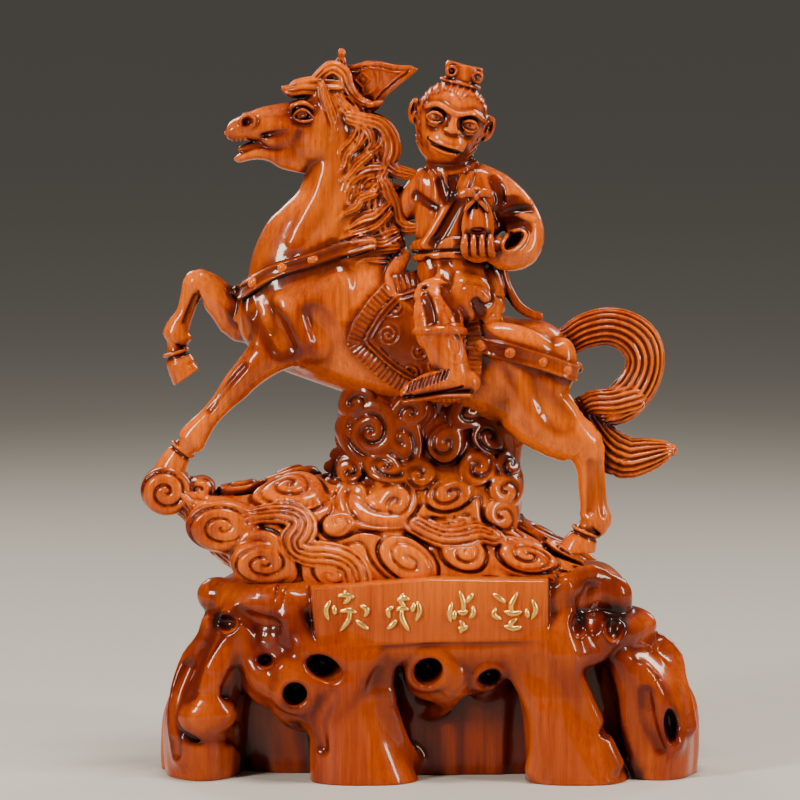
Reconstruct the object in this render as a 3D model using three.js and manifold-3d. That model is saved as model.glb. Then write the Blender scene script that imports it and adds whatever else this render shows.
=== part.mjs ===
// A monkey riding a rearing horse over a bank of clouds, carved with its root-stump base from one block of rosewood.
// Millimetres, +Z up, the origin under the middle of the base. The horse faces -X and its near side faces -Y.

import * as THREE from "three";
import { mergeVertices } from "three/addons/utils/BufferGeometryUtils.js";
import Module from "manifold-3d";

const wasm = await Module();
wasm.setup();

// Driving dimensions of the whole carving.
const PLAQUE_REACH = 59; // how far the plaque's face stands in front of the middle
const CLOTH_LIFT = 2.5; // how far the saddle cloth stands off the barrel
const STRAP_LIFT = 1.8;
const WOOD = { color: 0xa8430f, roughness: 0.22, metalness: 0 };

const ACROSS = new THREE.Vector3(0, 1, 0);

// A value read part way along a list of stations, with the ends held.
function between(rows, t, column) {
  const at = t * (rows.length - 1);
  const i = Math.min(Math.floor(at), rows.length - 2);
  return THREE.MathUtils.lerp(rows[i][column], rows[i + 1][column], at - i);
}

// A closed mesh from rings of equal length, capped by a fan at each end.
function skin(rings) {
  const sides = rings[0].length;
  const middle = (ring) => ring.reduce((sum, p) => sum.add(p), new THREE.Vector3()).divideScalar(sides);
  const points = [...rings.flat(), middle(rings[0]), middle(rings[rings.length - 1])];
  const faces = [];
  for (let i = 0; i + 1 < rings.length; i++) {
    for (let j = 0; j < sides; j++) {
      const a = i * sides + j;
      const b = i * sides + ((j + 1) % sides);
      faces.push(a, b, b + sides, a, b + sides, a + sides);
    }
  }
  const last = (rings.length - 1) * sides;
  for (let j = 0; j < sides; j++) {
    const next = (j + 1) % sides;
    faces.push(next, j, rings.length * sides);
    faces.push(last + j, last + next, rings.length * sides + 1);
  }
  const geometry = new THREE.BufferGeometry().setFromPoints(points);
  geometry.setIndex(faces);
  return geometry;
}

// A limb lofted through stations [x, y, z, half height, half width]. Each section is an ellipse whose width lies as
// near to the given direction as the run of the limb lets it.
function limb(stations, { sides = 8, steps = 2, grow = 0, across = ACROSS } = {}) {
  const spine = new THREE.CatmullRomCurve3(stations.map(([x, y, z]) => new THREE.Vector3(x, y, z)));
  const count = (stations.length - 1) * steps;
  const rings = [];
  for (let i = 0; i <= count; i++) {
    const t = i / count;
    const centre = spine.getPoint(t);
    const run = spine.getTangent(t);
    const wide = across.clone().addScaledVector(run, -across.dot(run)).normalize();
    const high = new THREE.Vector3().crossVectors(run, wide);
    const a = between(stations, t, 3) + grow;
    const b = between(stations, t, 4) + grow;
    rings.push(
      Array.from({ length: sides }, (_, j) => {
        const turn = (2 * Math.PI * (j + 0.5)) / sides;
        return centre.clone().addScaledVector(wide, b * Math.cos(turn)).addScaledVector(high, a * Math.sin(turn));
      }),
    );
  }
  return skin(rings);
}

// An egg shape of three half sizes, turned about Y by a tilt in degrees.
function egg([x, y, z], [rx, ry, rz], tilt = 0, segments = 10) {
  return new THREE.SphereGeometry(1, segments, Math.ceil(segments * 0.7))
    .rotateX(Math.PI / 2)
    .scale(rx, ry, rz)
    .rotateY(THREE.MathUtils.degToRad(tilt))
    .translate(x, y, z);
}

// A prism whose outline is drawn in X and Z and which runs in Y from front to back.
function slab(outline, front, back) {
  const shape = new THREE.Shape(outline.map(([x, z]) => new THREE.Vector2(x, z)));
  return new THREE.ExtrudeGeometry(shape, { depth: back - front, bevelEnabled: false })
    .rotateX(Math.PI / 2)
    .translate(0, back, 0);
}

// The outline of a band of a given half width along a line of [x, z] points.
function band(line, half) {
  const side = (i) => {
    const [before, after] = [line[Math.max(i - 1, 0)], line[Math.min(i + 1, line.length - 1)]];
    return new THREE.Vector2(before[1] - after[1], after[0] - before[0]).setLength(half);
  };
  const upper = line.map(([x, z], i) => [x + side(i).x, z + side(i).y]);
  const lower = line.map(([x, z], i) => [x - side(i).x, z - side(i).y]);
  return [...upper, ...lower.reverse()];
}

function solid(geometry) {
  const bare = geometry.clone();
  bare.deleteAttribute("normal");
  bare.deleteAttribute("uv");
  const merged = mergeVertices(bare, 1e-4);
  return new wasm.Manifold(
    new wasm.Mesh({
      numProp: 3,
      vertProperties: merged.attributes.position.array,
      triVerts: new Uint32Array(merged.index.array),
    }),
  );
}

const join = (pieces) => pieces.map(solid).reduce((whole, piece) => whole.add(piece));

// The horse's barrel, neck and head.
const TRUNK_SIDES = 10;
const TRUNK = [
  [-97, 0, 250, 8, 9], [-90, 0, 250, 20, 16], [-75, 0, 251, 29, 21], [-50, 0, 247, 35, 24], [-14, 0, 240, 40, 26],
  [16, 0, 229, 33, 26], [46, 0, 222, 29, 26], [66, 0, 224, 24, 23], [79, 0, 224, 16, 15], [84, 0, 223, 7, 7],
];
const NECK = [
  [-54, 0, 258, 38, 22], [-54, 0, 284, 37, 21], [-54, 0, 302, 30, 18], [-48, -1, 321, 20, 15],
  [-46, -2, 338, 17, 13], [-50, -3, 356, 15, 12],
];
const HEAD = [
  [-46, -2, 360, 13, 10], [-62, -3, 351, 20, 11.5], [-77, -4, 352, 17, 10.5], [-87, -5, 357, 10.5, 9],
  [-97, -6, 356, 8, 8], [-103, -6.5, 354, 6, 7], [-107, -7, 352, 3, 4.5],
];
const JAW = [[-74, -4, 343, 7, 7], [-86, -5, 343, 5, 6], [-96, -6, 340, 3, 5], [-101, -6, 338.5, 2, 3.5]];

function horseBody() {
  return [limb(TRUNK, { sides: TRUNK_SIDES, steps: 1 }), limb(NECK, { sides: 8, steps: 1 }), limb(HEAD), limb(JAW, { sides: 6, steps: 1 })];
}

// The four legs, each with its hoof below a cut at the fetlock.
const NEAR_FORE = [
  [-60, -13, 243, 21, 11], [-76, -17, 238, 18, 11], [-89, -19, 228, 14, 10], [-100, -20, 215, 11, 8.5],
  [-111, -19, 205, 9, 7.5], [-120, -17, 194, 6.8, 6.3], [-125, -16, 186, 8.3, 7.3], [-128, -15, 182, 7, 6.6],
];
const NEAR_FORE_HOOF = [[-129, -15, 182, 5.5, 5.5], [-134, -14, 176, 7.5, 7], [-139, -13, 169, 9, 8.5], [-141, -13, 165, 9.5, 9]];
const FAR_FORE = [
  [-66, 10, 248, 17, 11], [-87, 13, 252, 13.5, 10], [-104, 15, 256, 10.5, 8.5], [-114, 15, 264, 8.8, 7.5],
  [-122, 15, 266, 8, 7.2], [-128, 14, 254, 5.3, 5.6], [-134, 14, 243, 6.8, 6.3], [-134.5, 13, 237, 8, 7],
  [-134.5, 13, 234, 5, 5],
];
const FAR_FORE_HOOF = [[-134, 13, 236, 3.5, 4], [-134, 13, 231, 5, 6], [-131, 13, 225, 7.8, 7.5], [-127.5, 13, 218, 9, 8.5]];
const NEAR_HIND = [
  [58, -11, 221, 24, 14], [63, -15, 203, 21, 13], [77, -16, 189, 16, 11], [89, -15, 181, 12.5, 9],
  [95, -14, 169, 8, 7.2], [95, -14, 155, 7.2, 6.8], [95.7, -14, 146, 8.2, 7.2], [96, -14, 141, 9.2, 7.8],
  [95.5, -14, 137, 6.5, 6],
];
const NEAR_HIND_HOOF = [[93, -14, 138, 4.5, 5], [90, -14, 131, 8, 8], [86, -14, 123, 10.5, 9.5], [84.5, -14, 119, 10.5, 9.5]];
const FAR_HIND = [
  [55, 11, 211, 22, 13], [44, 16, 191, 16, 11], [47, 17, 177, 10, 8.5], [48, 17, 166, 7.4, 7], [49, 17, 157, 8.5, 7.5],
  [45, 17, 149, 8, 8], [42, 17, 142, 9.5, 9],
];

function legs() {
  const hoof = { sides: 6, steps: 1 };
  const leg = { sides: 6, steps: 2 };
  return [
    limb(NEAR_FORE, leg), limb(FAR_FORE, hoof), limb(NEAR_HIND, leg), limb(FAR_HIND, hoof),
    limb(NEAR_FORE_HOOF, hoof), limb(FAR_FORE_HOOF, hoof), limb(NEAR_HIND_HOOF, hoof),
  ];
}

// The tail: up and over in an arch, back to the thigh, then down and out in a flick.
const TAIL_ARCH = [
  [72, 2, 240, 9, 8], [83, 2, 240, 8, 8], [94, 2, 244, 9.5, 8.5], [108, 1, 246, 11.5, 9], [121, 0, 238, 12, 9],
  [126, -1, 225, 11, 9], [121, -2, 213, 11, 9], [109, -3, 205, 11, 9],
];
const TAIL_FOLD = [[118, -3, 209, 9, 8], [104, -4, 204, 8.5, 9], [93, -4, 203, 7.5, 8], [87, -4, 199, 5, 6]];
const TAIL_FLICK = [
  [88, -3, 202, 6, 7], [93, -3, 192, 9, 8], [101, -2, 183, 12, 9], [113, 0, 175, 12, 9], [126, 2, 175, 9.5, 8],
  [135, 3, 179, 6.5, 6], [140, 3, 179, 4, 4],
];
// Locks of the mane and forelock, root first.
const MANE_CREST = [
  [-52, 0, 372, 6, 7], [-42, 0, 368, 9, 9], [-33, 0, 356, 11, 10], [-28, 0, 342, 12, 10], [-27, 0, 322, 12, 11],
  [-25, 0, 304, 12, 12], [-18, 0, 290, 10, 12],
];
const LOCKS = [
  [[-22, -4, 345, 6, 6], [-17, -6, 336, 5, 5], [-10, -8, 330, 4.5, 4.5], [0, -9, 328, 4, 4], [7, -9, 328, 3, 3]],
  [[-24, -6, 322, 6, 6], [-17, -8, 307, 6, 6], [-11, -10, 296, 5, 5], [-4, -12, 293, 4.5, 4], [2, -12, 298, 2.5, 2.5]],
  [[-38, -8, 362, 5, 4], [-34, -11, 351, 5, 4], [-38, -13, 342, 4.5, 4], [-45, -14, 334, 3, 3]],
  [[-33, -10, 352, 5, 4], [-27, -12, 342, 5, 4], [-33, -14, 332, 5, 4], [-41, -15, 326, 4, 3], [-46, -15, 317, 2.5, 2.5]],
  [[-28, -11, 330, 6, 5], [-31, -14, 318, 6, 5], [-38, -16, 310, 5, 4], [-42, -17, 303, 3, 3]],
  [[-17, -12, 297, 6, 6], [-27, -15, 293, 6, 5], [-38, -19, 289, 5.5, 4.5], [-47, -21, 282, 4, 3.5], [-57, -21, 280, 2.5, 2.5]],
  [[-17, -13, 288, 5, 5], [-29, -18, 284, 5, 4.5], [-40, -21, 279, 4, 4], [-50, -22, 275, 2.5, 2.5]],
  [[-47, -4, 376, 5, 5], [-58, -5, 380, 4, 4], [-67, -6, 378, 3.5, 3.5], [-75, -6, 378, 2, 2]],
  [[-57, -3, 371, 4, 5], [-47, -5, 379, 4.5, 5], [-38, -5, 373, 5, 5], [-30, -4, 364, 4.5, 5], [-24, -3, 360, 3, 3]],
];
const FAR_LOCKS = [3, 4, 5]; // which locks have a fellow on the far side of the neck

function hair() {
  const far = FAR_LOCKS.map((i) => LOCKS[i].map(([x, y, z, a, b]) => [x, -y, z, a, b]));
  return [
    limb(TAIL_ARCH, { sides: 6 }), limb(TAIL_FOLD, { sides: 6, steps: 1 }), limb(TAIL_FLICK, { sides: 6, steps: 1 }),
    limb(MANE_CREST, { sides: 6, steps: 1 }), ...[...LOCKS, ...far].map((lock) => limb(lock, { sides: 4, steps: 1 })),
  ];
}

// Saddle cloth, breast strap and crupper strap: each is the slightly swollen body inside a prism of its own outline.
const CLOTH = [[-14, 280], [-24, 266], [-40, 242], [-39, 235], [-33, 228], [-10, 211], [6, 212], [26, 222], [30, 250], [20, 280]];
const BREAST_STRAP = [[-105, 266], [-92, 271], [-66, 282], [-42, 289], [-24, 290]];
const CRUPPER_STRAP = [[22, 240], [49, 232], [92, 222]];

function harness() {
  const reach = 45;
  const trunk = (grow) => solid(limb(TRUNK, { sides: TRUNK_SIDES, steps: 1, grow }));
  const neck = solid(limb(NECK, { sides: 8, steps: 1, grow: STRAP_LIFT }));
  const cut = (body, outline) => body.intersect(solid(slab(outline, -reach, reach)));
  return [
    cut(trunk(CLOTH_LIFT), CLOTH),
    cut(trunk(STRAP_LIFT).add(neck), band(BREAST_STRAP, 3.5)),
    cut(trunk(STRAP_LIFT), band(CRUPPER_STRAP, 4.5)),
  ];
}

// The monkey: head with muzzle, ears and boat-shaped cap, robed trunk, arms, booted legs and a thin tail.
const HEAD_TILT = 14;
const MONKEY_TRUNK = [
  [17, -2, 336, 11, 10], [18, -3, 326, 20, 13], [18, -4, 312, 21, 15], [17, -5, 297, 20, 15], [19, -5, 286, 21, 16],
  [21, -5, 272, 24, 18], [23, -5, 256, 23, 18],
];
const SASH = [[18, -5, 293, 22.5, 17.5], [19, -5, 286, 23.5, 18]];
const NEAR_ARM = [
  [36, -4, 322, 9, 9], [50, -6, 315, 9.5, 9.5], [57, -9, 305, 10.5, 10], [58, -14, 295, 10, 9.5],
  [48, -20, 290, 8, 8], [36, -25, 291, 6.5, 6.5],
];
const FAR_ARM = [[2, -2, 323, 9, 9], [-6, 1, 313, 8, 8], [-12, 5, 309, 6.5, 6.5], [-15, 8, 316, 5, 5]];
const COAT_SKIRT = [[27, -6, 274, 14, 13], [32, -9, 262, 15, 13], [34, -12, 250, 11, 11], [31, -14, 243, 6, 7]];
const MONKEY_TAIL = [[43, -4, 276, 3.5, 3.5], [47, -5, 266, 2.8, 2.8], [54, -6, 257, 2.6, 2.6], [64, -6, 252, 2.4, 2.4]];
const NEAR_TROUSER = [[20, -10, 268, 16, 12], [13, -20, 263, 14, 11], [9, -28, 256, 13, 9.5], [11, -31, 246, 13.5, 10]];
const NEAR_BOOT = [[11, -32, 250, 11.5, 9], [12, -33, 240, 11, 9], [15, -34, 231, 10.5, 8.5], [18, -35, 222, 9, 8]];
const NEAR_FOOT = [[25, -35, 222, 6.5, 7], [15, -36, 221, 8, 7.5], [5, -36, 218, 6.5, 7.5], [-3, -36, 215, 5, 6.5], [-9, -36, 214, 3, 4]];
const FAR_LEG = [[20, 4, 268, 15, 11], [11, 22, 259, 13, 9.5], [12, 27, 246, 13, 9.5], [13, 29, 233, 11, 8.5], [18, 30, 221, 8, 7]];
const FAR_FOOT = [[23, 30, 221, 6, 6], [5, 31, 218, 6.5, 7], [-8, 31, 214, 3, 4]];
// The seal, wrapped in cloth and tied with a bow, that rests on the near hand.
const BOW = [[20, -24, 322, 2.5, 2], [25, -25, 323, 4, 3.2], [29, -25, 321, 2.5, 3], [33, -25, 323, 4, 3.2], [38, -24, 322, 2.5, 2]];
const BUNDLE = [[28, -24, 320, 2.5, 2.5], [28, -24, 317, 6, 6], [28, -24, 309, 8, 7.5], [28, -25, 301, 9.5, 8.5]];

function monkey() {
  const plain = { sides: 6, steps: 1 };
  return [
    egg([16, -6, 359], [20, 18, 24], HEAD_TILT, 10), egg([13, -19, 347], [12, 9, 11], HEAD_TILT, 7),
    egg([-3, -5, 365], [5, 3, 7], -10, 5), egg([36, -5, 353], [5, 3, 7], 25, 5),
    slab([[12, 389], [34, 386], [33, 377], [14, 379]], -13, 1),
    limb(MONKEY_TRUNK, { sides: 8, steps: 1 }), limb(SASH, { sides: 8, steps: 1 }), limb(NEAR_ARM, plain),
    limb(FAR_ARM, { sides: 5, steps: 1 }), limb(COAT_SKIRT, plain), limb(MONKEY_TAIL, { sides: 5, steps: 1 }),
    limb(NEAR_TROUSER, plain), limb(NEAR_BOOT, plain), limb(NEAR_FOOT, { sides: 5, steps: 1 }),
    limb(FAR_LEG, plain), limb(FAR_FOOT, { sides: 5, steps: 1 }), limb(BUNDLE, plain), egg([30, -27, 295], [10, 9, 7], 0, 7),
    limb(BOW, { sides: 6, steps: 1 }), egg([-11, 0, 277], [7, 13, 9], 15, 7),
  ];
}

// The command flag behind the horse's ears, its staff and the knob on the staff.
const FLAG = [
  [-56, 377], [-48, 386], [-38, 389.5], [-29, 392], [-21, 391], [-11, 389], [-2, 388], [-1, 386], [-14, 376],
  [-21, 369], [-25, 361], [-33, 358], [-46, 366],
];
const STAFF = [[-45, 3, 384, 2.4, 2.4], [-30, 6, 352, 2.4, 2.4], [-13, 8, 313, 2.4, 2.4]];
const KNOB = [[-45, 3, 384, 2.8, 2.8], [-43.5, 3, 391, 2.6, 2.6], [-43, 3, 396, 2.8, 2.8], [-43, 3, 398.5, 1.2, 1.2]];

function flag() {
  return [slab(FLAG, 0, 6), limb(STAFF, { sides: 6, steps: 1 }), limb(KNOB, { sides: 6, steps: 1 })];
}

// The cloud bank: a ridge of elliptical sections from the curl at the left to the low right end. Its front is the
// -Y side, and an angle round it is 0 at the front, 90 on top and 180 at the back.
const BANK = [
  [-154.5, -12, 157, 4, 4], [-147, -12, 157, 9.5, 10], [-136, -12, 156, 11.5, 13], [-121, -10, 147, 12, 16],
  [-104, -5, 141, 19, 26], [-84, -2, 131, 32, 38], [-64, 0, 124, 44, 45], [-36, 0, 122, 45, 48], [8, 0, 118, 42, 49],
  [50, 0, 112, 31, 48], [78, 0, 106, 21, 42], [104, 0, 101, 10, 26],
];
const COLUMN = [[-3, 0, 206, 38, 19], [-3, 0, 190, 43, 21], [0, 0, 176, 46, 24], [2, 0, 160, 54, 34], [2, 0, 146, 58, 40]];

// The place and outward direction on a ridge at a distance along X and an angle round it.
function onRidge(ridge, x, angle) {
  const right = Math.max(1, ridge.findIndex((row) => row[0] >= x));
  const [low, high] = [ridge[right - 1], ridge[right]];
  const share = (x - low[0]) / (high[0] - low[0]);
  const [, y, z, a, b] = low.map((v, i) => THREE.MathUtils.lerp(v, high[i], share));
  const turn = THREE.MathUtils.degToRad(angle);
  return {
    place: new THREE.Vector3(x, y - b * Math.cos(turn), z + a * Math.sin(turn)),
    out: new THREE.Vector3(0, -a * Math.cos(turn), b * Math.sin(turn)).normalize(),
  };
}

// A cloud scroll: a ridged rib wound into a flat spiral that climbs to its eye, so that it stands as a boss.
function scroll({ place, out }, { size, flat = 1, turns = 1.5, start = 0, hand = 1 }) {
  const along = new THREE.Vector3(1, 0, 0).addScaledVector(out, -out.x).normalize();
  const up = new THREE.Vector3().crossVectors(out, along);
  const rib = size / (turns + 1) / 1.7;
  const steps = Math.round(turns * 6);
  const stations = Array.from({ length: steps + 1 }, (_, i) => {
    const t = i / steps;
    const turn = start + hand * 2 * Math.PI * turns * t;
    const reach = THREE.MathUtils.lerp(size - rib, rib * 0.5, t);
    const p = place.clone().addScaledVector(along, reach * Math.cos(turn)).addScaledVector(up, reach * flat * Math.sin(turn));
    return [...p.addScaledVector(out, 0.3 * size * t).toArray(), rib, rib * 1.3];
  });
  return limb(stations, { sides: 3, steps: 1, across: out.clone().negate() });
}

// Scrolls on the front of the bank: [x, angle, size, flatness, turns, start in degrees, hand].
const FRONT_SCROLLS = [
  [-139, 0, 12, 1, 1.5, 60, 1], [-108, 5, 20, 0.75, 1.6, 200, 1], [-82, -10, 15, 0.8, 1.5, 150, 1],
  [-68, 48, 22, 0.6, 1.5, 0, -1], [-24, 42, 22, 0.7, 1.6, 180, 1], [-45, 8, 16, 0.7, 1.3, 90, 1],
  [-6, 2, 17, 0.8, 1.6, 120, -1], [27, 6, 17, 0.8, 1.6, 60, 1], [22, 38, 18, 0.7, 1.4, 180, 1],
  [54, 45, 18, 0.8, 1.5, 200, -1], [58, 0, 16, 0.7, 1.5, 0, 1],
];
const BACK_SCROLLS = [[-70, 150], [-10, 145], [50, 150]];
// Scrolls on the column: [x, y, z, size].
const COLUMN_SCROLLS = [[-31, -14, 187, 15], [14, -18, 186, 15], [32, -17, 170, 12], [0, 19, 180, 17]];

function clouds() {
  const degree = Math.PI / 180;
  const front = FRONT_SCROLLS.map(([x, angle, size, flat, turns, start, hand]) => {
    const seat = onRidge(BANK, x, angle);
    seat.out.add(new THREE.Vector3(0, -0.4, 0)).normalize();
    return scroll(seat, { size, flat, turns, start: start * degree, hand });
  });
  const back = BACK_SCROLLS.map(([x, angle]) => scroll(onRidge(BANK, x, angle), { size: 19, flat: 0.7, turns: 1.3 }));
  const column = COLUMN_SCROLLS.map(([x, y, z, size]) =>
    scroll({ place: new THREE.Vector3(x, y, z), out: new THREE.Vector3(0, Math.sign(y), 0) }, { size, turns: 1.25 }),
  );
  return [limb(BANK, { sides: 11, steps: 1 }), limb(COLUMN, { sides: 8, steps: 1 }), ...front, ...back, ...column];
}

// The stump: a slab under the clouds, a core and a lintel at each side, and root feet that splay to the table.
const SLAB = [
  [-117.5, -4, 94, 3, 6], [-109, -3, 94, 12, 24], [-88, 0, 97, 17, 42], [-45, 0, 98, 18, 51], [10, 0, 99, 18, 53],
  [65, 0, 100, 18, 50], [98, 0, 101, 14, 34], [113, 0, 99, 6, 14],
];
const CORE = [[4, 0, 100, 92, 40], [2, 0, 70, 106, 30], [2, 0, 30, 116, 28], [2, 0, -4, 112, 26]];
const LINTEL = [
  [-106, -12, 80, 12, 24], [-62, -34, 74, 17, 19], [-8, -38, 75, 13, 19], [35, -38, 74, 17, 19], [84, -32, 76, 16, 20],
  [112, -10, 80, 12, 24],
];
const FEET = [
  [[-96, -6, 88, 16, 34], [-108, -8, 64, 20, 38], [-119, -8, 36, 24, 40], [-121, -8, 14, 24, 38], [-120, -8, -4, 22, 35]],
  [[-40, -36, 80, 22, 20], [-40, -38, 40, 24, 22], [-35, -38, 16, 28, 23], [-30, -37, -4, 33, 25]],
  [[70, -36, 80, 24, 20], [75, -38, 40, 22, 21], [80, -38, 16, 25, 22], [85, -37, -4, 27, 25]],
  [[98, -4, 80, 12, 30], [116, -6, 62, 20, 37], [128, -6, 42, 24, 40], [131, -6, 18, 23.5, 38], [129, -6, -4, 23, 35]],
  [[-46, 26, 88, 22, 18], [-46, 37, 44, 26, 21], [-51, 37, -4, 34, 25.5]],
  [[50, 26, 88, 24, 18], [49, 37, 44, 27, 21], [54, 37, -4, 36, 25.5]],
];
const WEB = [[-80, -34, 56], [16, 20, 20]]; // the lump that bridges the left and the middle foot
const KNOT_HOLES = [
  [[-54, -62, 63], [8, 22, 9]], [[-70, -56, 50], [7, 18, 7]], [[4, -62, 63], [9, 24, 8]], [[38, -62, 59], [7, 20, 6]],
];
const PLAQUE = [[-61, 106], [-10, 111], [71, 110], [71, 79], [-57, 77]];

function base() {
  const foot = { sides: 6, steps: 1 };
  const table = slab([[-200, -40], [200, -40], [200, 0], [-200, 0]], -100, 100);
  const wood = join([
    limb(SLAB, { sides: 8, steps: 1 }), limb(CORE, { sides: 8, steps: 1 }), limb(LINTEL, foot),
    ...FEET.map((stations) => limb(stations, foot)), egg(...WEB, 0, 6), slab(PLAQUE, -PLAQUE_REACH, -36),
  ]);
  return wood.subtract(join([table, ...KNOT_HOLES.map(([place, size]) => egg(place, size, 0, 6))]));
}

const block = harness().reduce(
  (whole, piece) => whole.add(piece),
  join([...horseBody(), ...legs(), ...hair(), ...monkey(), ...flag(), ...clouds()]).add(base()),
);
// A sealed void where locks cross is solid wood, so only the body with volume is kept.
const carving = block.decompose().find((body) => body.volume() > 0);

function meshOf(name, shape) {
  const { numProp, vertProperties, triVerts } = shape.getMesh();
  const positions = new Float32Array((vertProperties.length / numProp) * 3);
  for (let i = 0; i * numProp < vertProperties.length; i++) {
    positions.set(vertProperties.subarray(i * numProp, i * numProp + 3), i * 3);
  }
  const geometry = new THREE.BufferGeometry();
  geometry.setAttribute("position", new THREE.BufferAttribute(positions, 3));
  geometry.setIndex(new THREE.BufferAttribute(triVerts, 1));
  const mesh = new THREE.Mesh(geometry, new THREE.MeshStandardMaterial(WOOD));
  mesh.name = name;
  return mesh;
}

const group = new THREE.Group();
group.add(meshOf("monkey_on_horse_carving", carving));

export default group;
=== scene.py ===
import math
import bpy
import numpy as np
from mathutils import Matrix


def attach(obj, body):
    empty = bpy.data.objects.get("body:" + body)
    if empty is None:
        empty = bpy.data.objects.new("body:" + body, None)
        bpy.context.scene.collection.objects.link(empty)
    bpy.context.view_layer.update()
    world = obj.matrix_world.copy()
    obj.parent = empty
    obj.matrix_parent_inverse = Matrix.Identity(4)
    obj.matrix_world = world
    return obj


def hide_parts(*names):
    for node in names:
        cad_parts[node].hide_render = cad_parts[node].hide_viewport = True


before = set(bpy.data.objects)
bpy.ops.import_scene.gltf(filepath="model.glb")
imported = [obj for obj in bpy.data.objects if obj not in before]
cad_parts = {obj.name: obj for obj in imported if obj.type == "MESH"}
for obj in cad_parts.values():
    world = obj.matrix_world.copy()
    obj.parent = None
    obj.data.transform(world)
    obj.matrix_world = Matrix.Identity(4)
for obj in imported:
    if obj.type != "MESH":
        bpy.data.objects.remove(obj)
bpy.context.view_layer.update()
import openvdb
from mathutils import Vector
CARVING = "monkey_on_horse_carving"
MM = 0.001  # the sizes below are in mm, Blender's are in metres
COARSE = 1.0  # a wider grid while trying things


# The stump base: the root end of the rosewood block. Its feet and ridges keep the root's own run, it
# is pierced with holes and cut back to a core between the feet, darkened with painted shade, and the
# plaque stands proud of the front and bows with it.
FAR = 8.0  # mm: distances are kept only this near the surface
MOST_TRIANGLES = 199000  # in one piece

def clamp(v, low, high):
    return np.minimum(np.maximum(v, low), high)

def soft_union(a, b, blend):
    if blend <= 0:
        return np.minimum(a, b)
    h = np.maximum(blend - np.abs(a - b), 0)
    return np.minimum(a, b) - h * h * (0.25 / blend)

def soft_cut(a, b, blend):
    return -soft_union(-a, b, blend)

def along_spline(stations, steps):
    """Catmull-Rom through rows of numbers, every column at once."""
    p = np.asarray(stations, float)
    p = np.vstack([2 * p[0] - p[1], p, 2 * p[-1] - p[-2]])
    out = []
    for i in range(1, len(p) - 2):
        for t in np.arange(steps) / steps:
            out.append(0.5 * (2 * p[i] + (p[i + 1] - p[i - 1]) * t
                              + (2 * p[i - 1] - 5 * p[i] + 4 * p[i + 1] - p[i + 2]) * t * t
                              + (3 * p[i] - p[i - 1] - 3 * p[i + 1] + p[i + 2]) * t ** 3))
    out.append(p[-2])
    return np.array(out)

def ellipse_distance(u, v, w2, b, a, m):
    """About the distance to an ellipse of half sizes b and a, capped along the third way by radius m."""
    uu, vv = u / b, v / a
    k0 = np.sqrt(uu * uu + vv * vv + w2 / (m * m))
    k1 = np.sqrt((uu / b) ** 2 + (vv / a) ** 2 + w2 / (m ** 4))
    return np.maximum(k0, 1e-4) * (k0 - 1) / np.maximum(k1, 1e-5)

class Block:
    """A block of wood: the signed distance to its surface in mm on an even grid, negative inside."""

    def __init__(self, low, high, pitch):
        self.low, self.pitch = np.array(low, float), pitch
        count = np.ceil((np.array(high) - self.low) / pitch).astype(int) + 1
        self.axes = [(self.low[i] + pitch * np.arange(count[i])).astype(np.float32) for i in range(3)]
        self.depth = np.full(count, FAR, np.float32)

    def window(self, low, high):
        first = [max(0, int((low[i] - self.low[i]) / self.pitch)) for i in range(3)]
        last = [int((high[i] - self.low[i]) / self.pitch) + 2 for i in range(3)]
        cuts = tuple(slice(a, max(a, b)) for a, b in zip(first, last))
        x, y, z = (self.axes[i][cuts[i]] for i in range(3))
        return cuts, x[:, None, None], y[None, :, None], z[None, None, :]

    def add(self, cuts, field, blend=0.0):
        self.depth[cuts] = soft_union(self.depth[cuts], np.minimum(field, FAR), blend)

    def cut(self, cuts, field, blend=0.0):
        self.depth[cuts] = np.minimum(soft_cut(self.depth[cuts], np.minimum(field, FAR), blend), FAR)

    def sample(self, points, source=None):
        grid = self.depth if source is None else source
        at = (points - self.low) / self.pitch
        at = clamp(at, 0, np.array(grid.shape) - 1.001)
        i = at.astype(int)
        f = at - i
        out = 0
        for dx in (0, 1):
            for dy in (0, 1):
                for dz in (0, 1):
                    fx = f[:, 0] if dx else 1 - f[:, 0]
                    fy = f[:, 1] if dy else 1 - f[:, 1]
                    fz = f[:, 2] if dz else 1 - f[:, 2]
                    out = out + fx * fy * fz * grid[i[:, 0] + dx, i[:, 1] + dy, i[:, 2] + dz]
        return out

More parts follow.
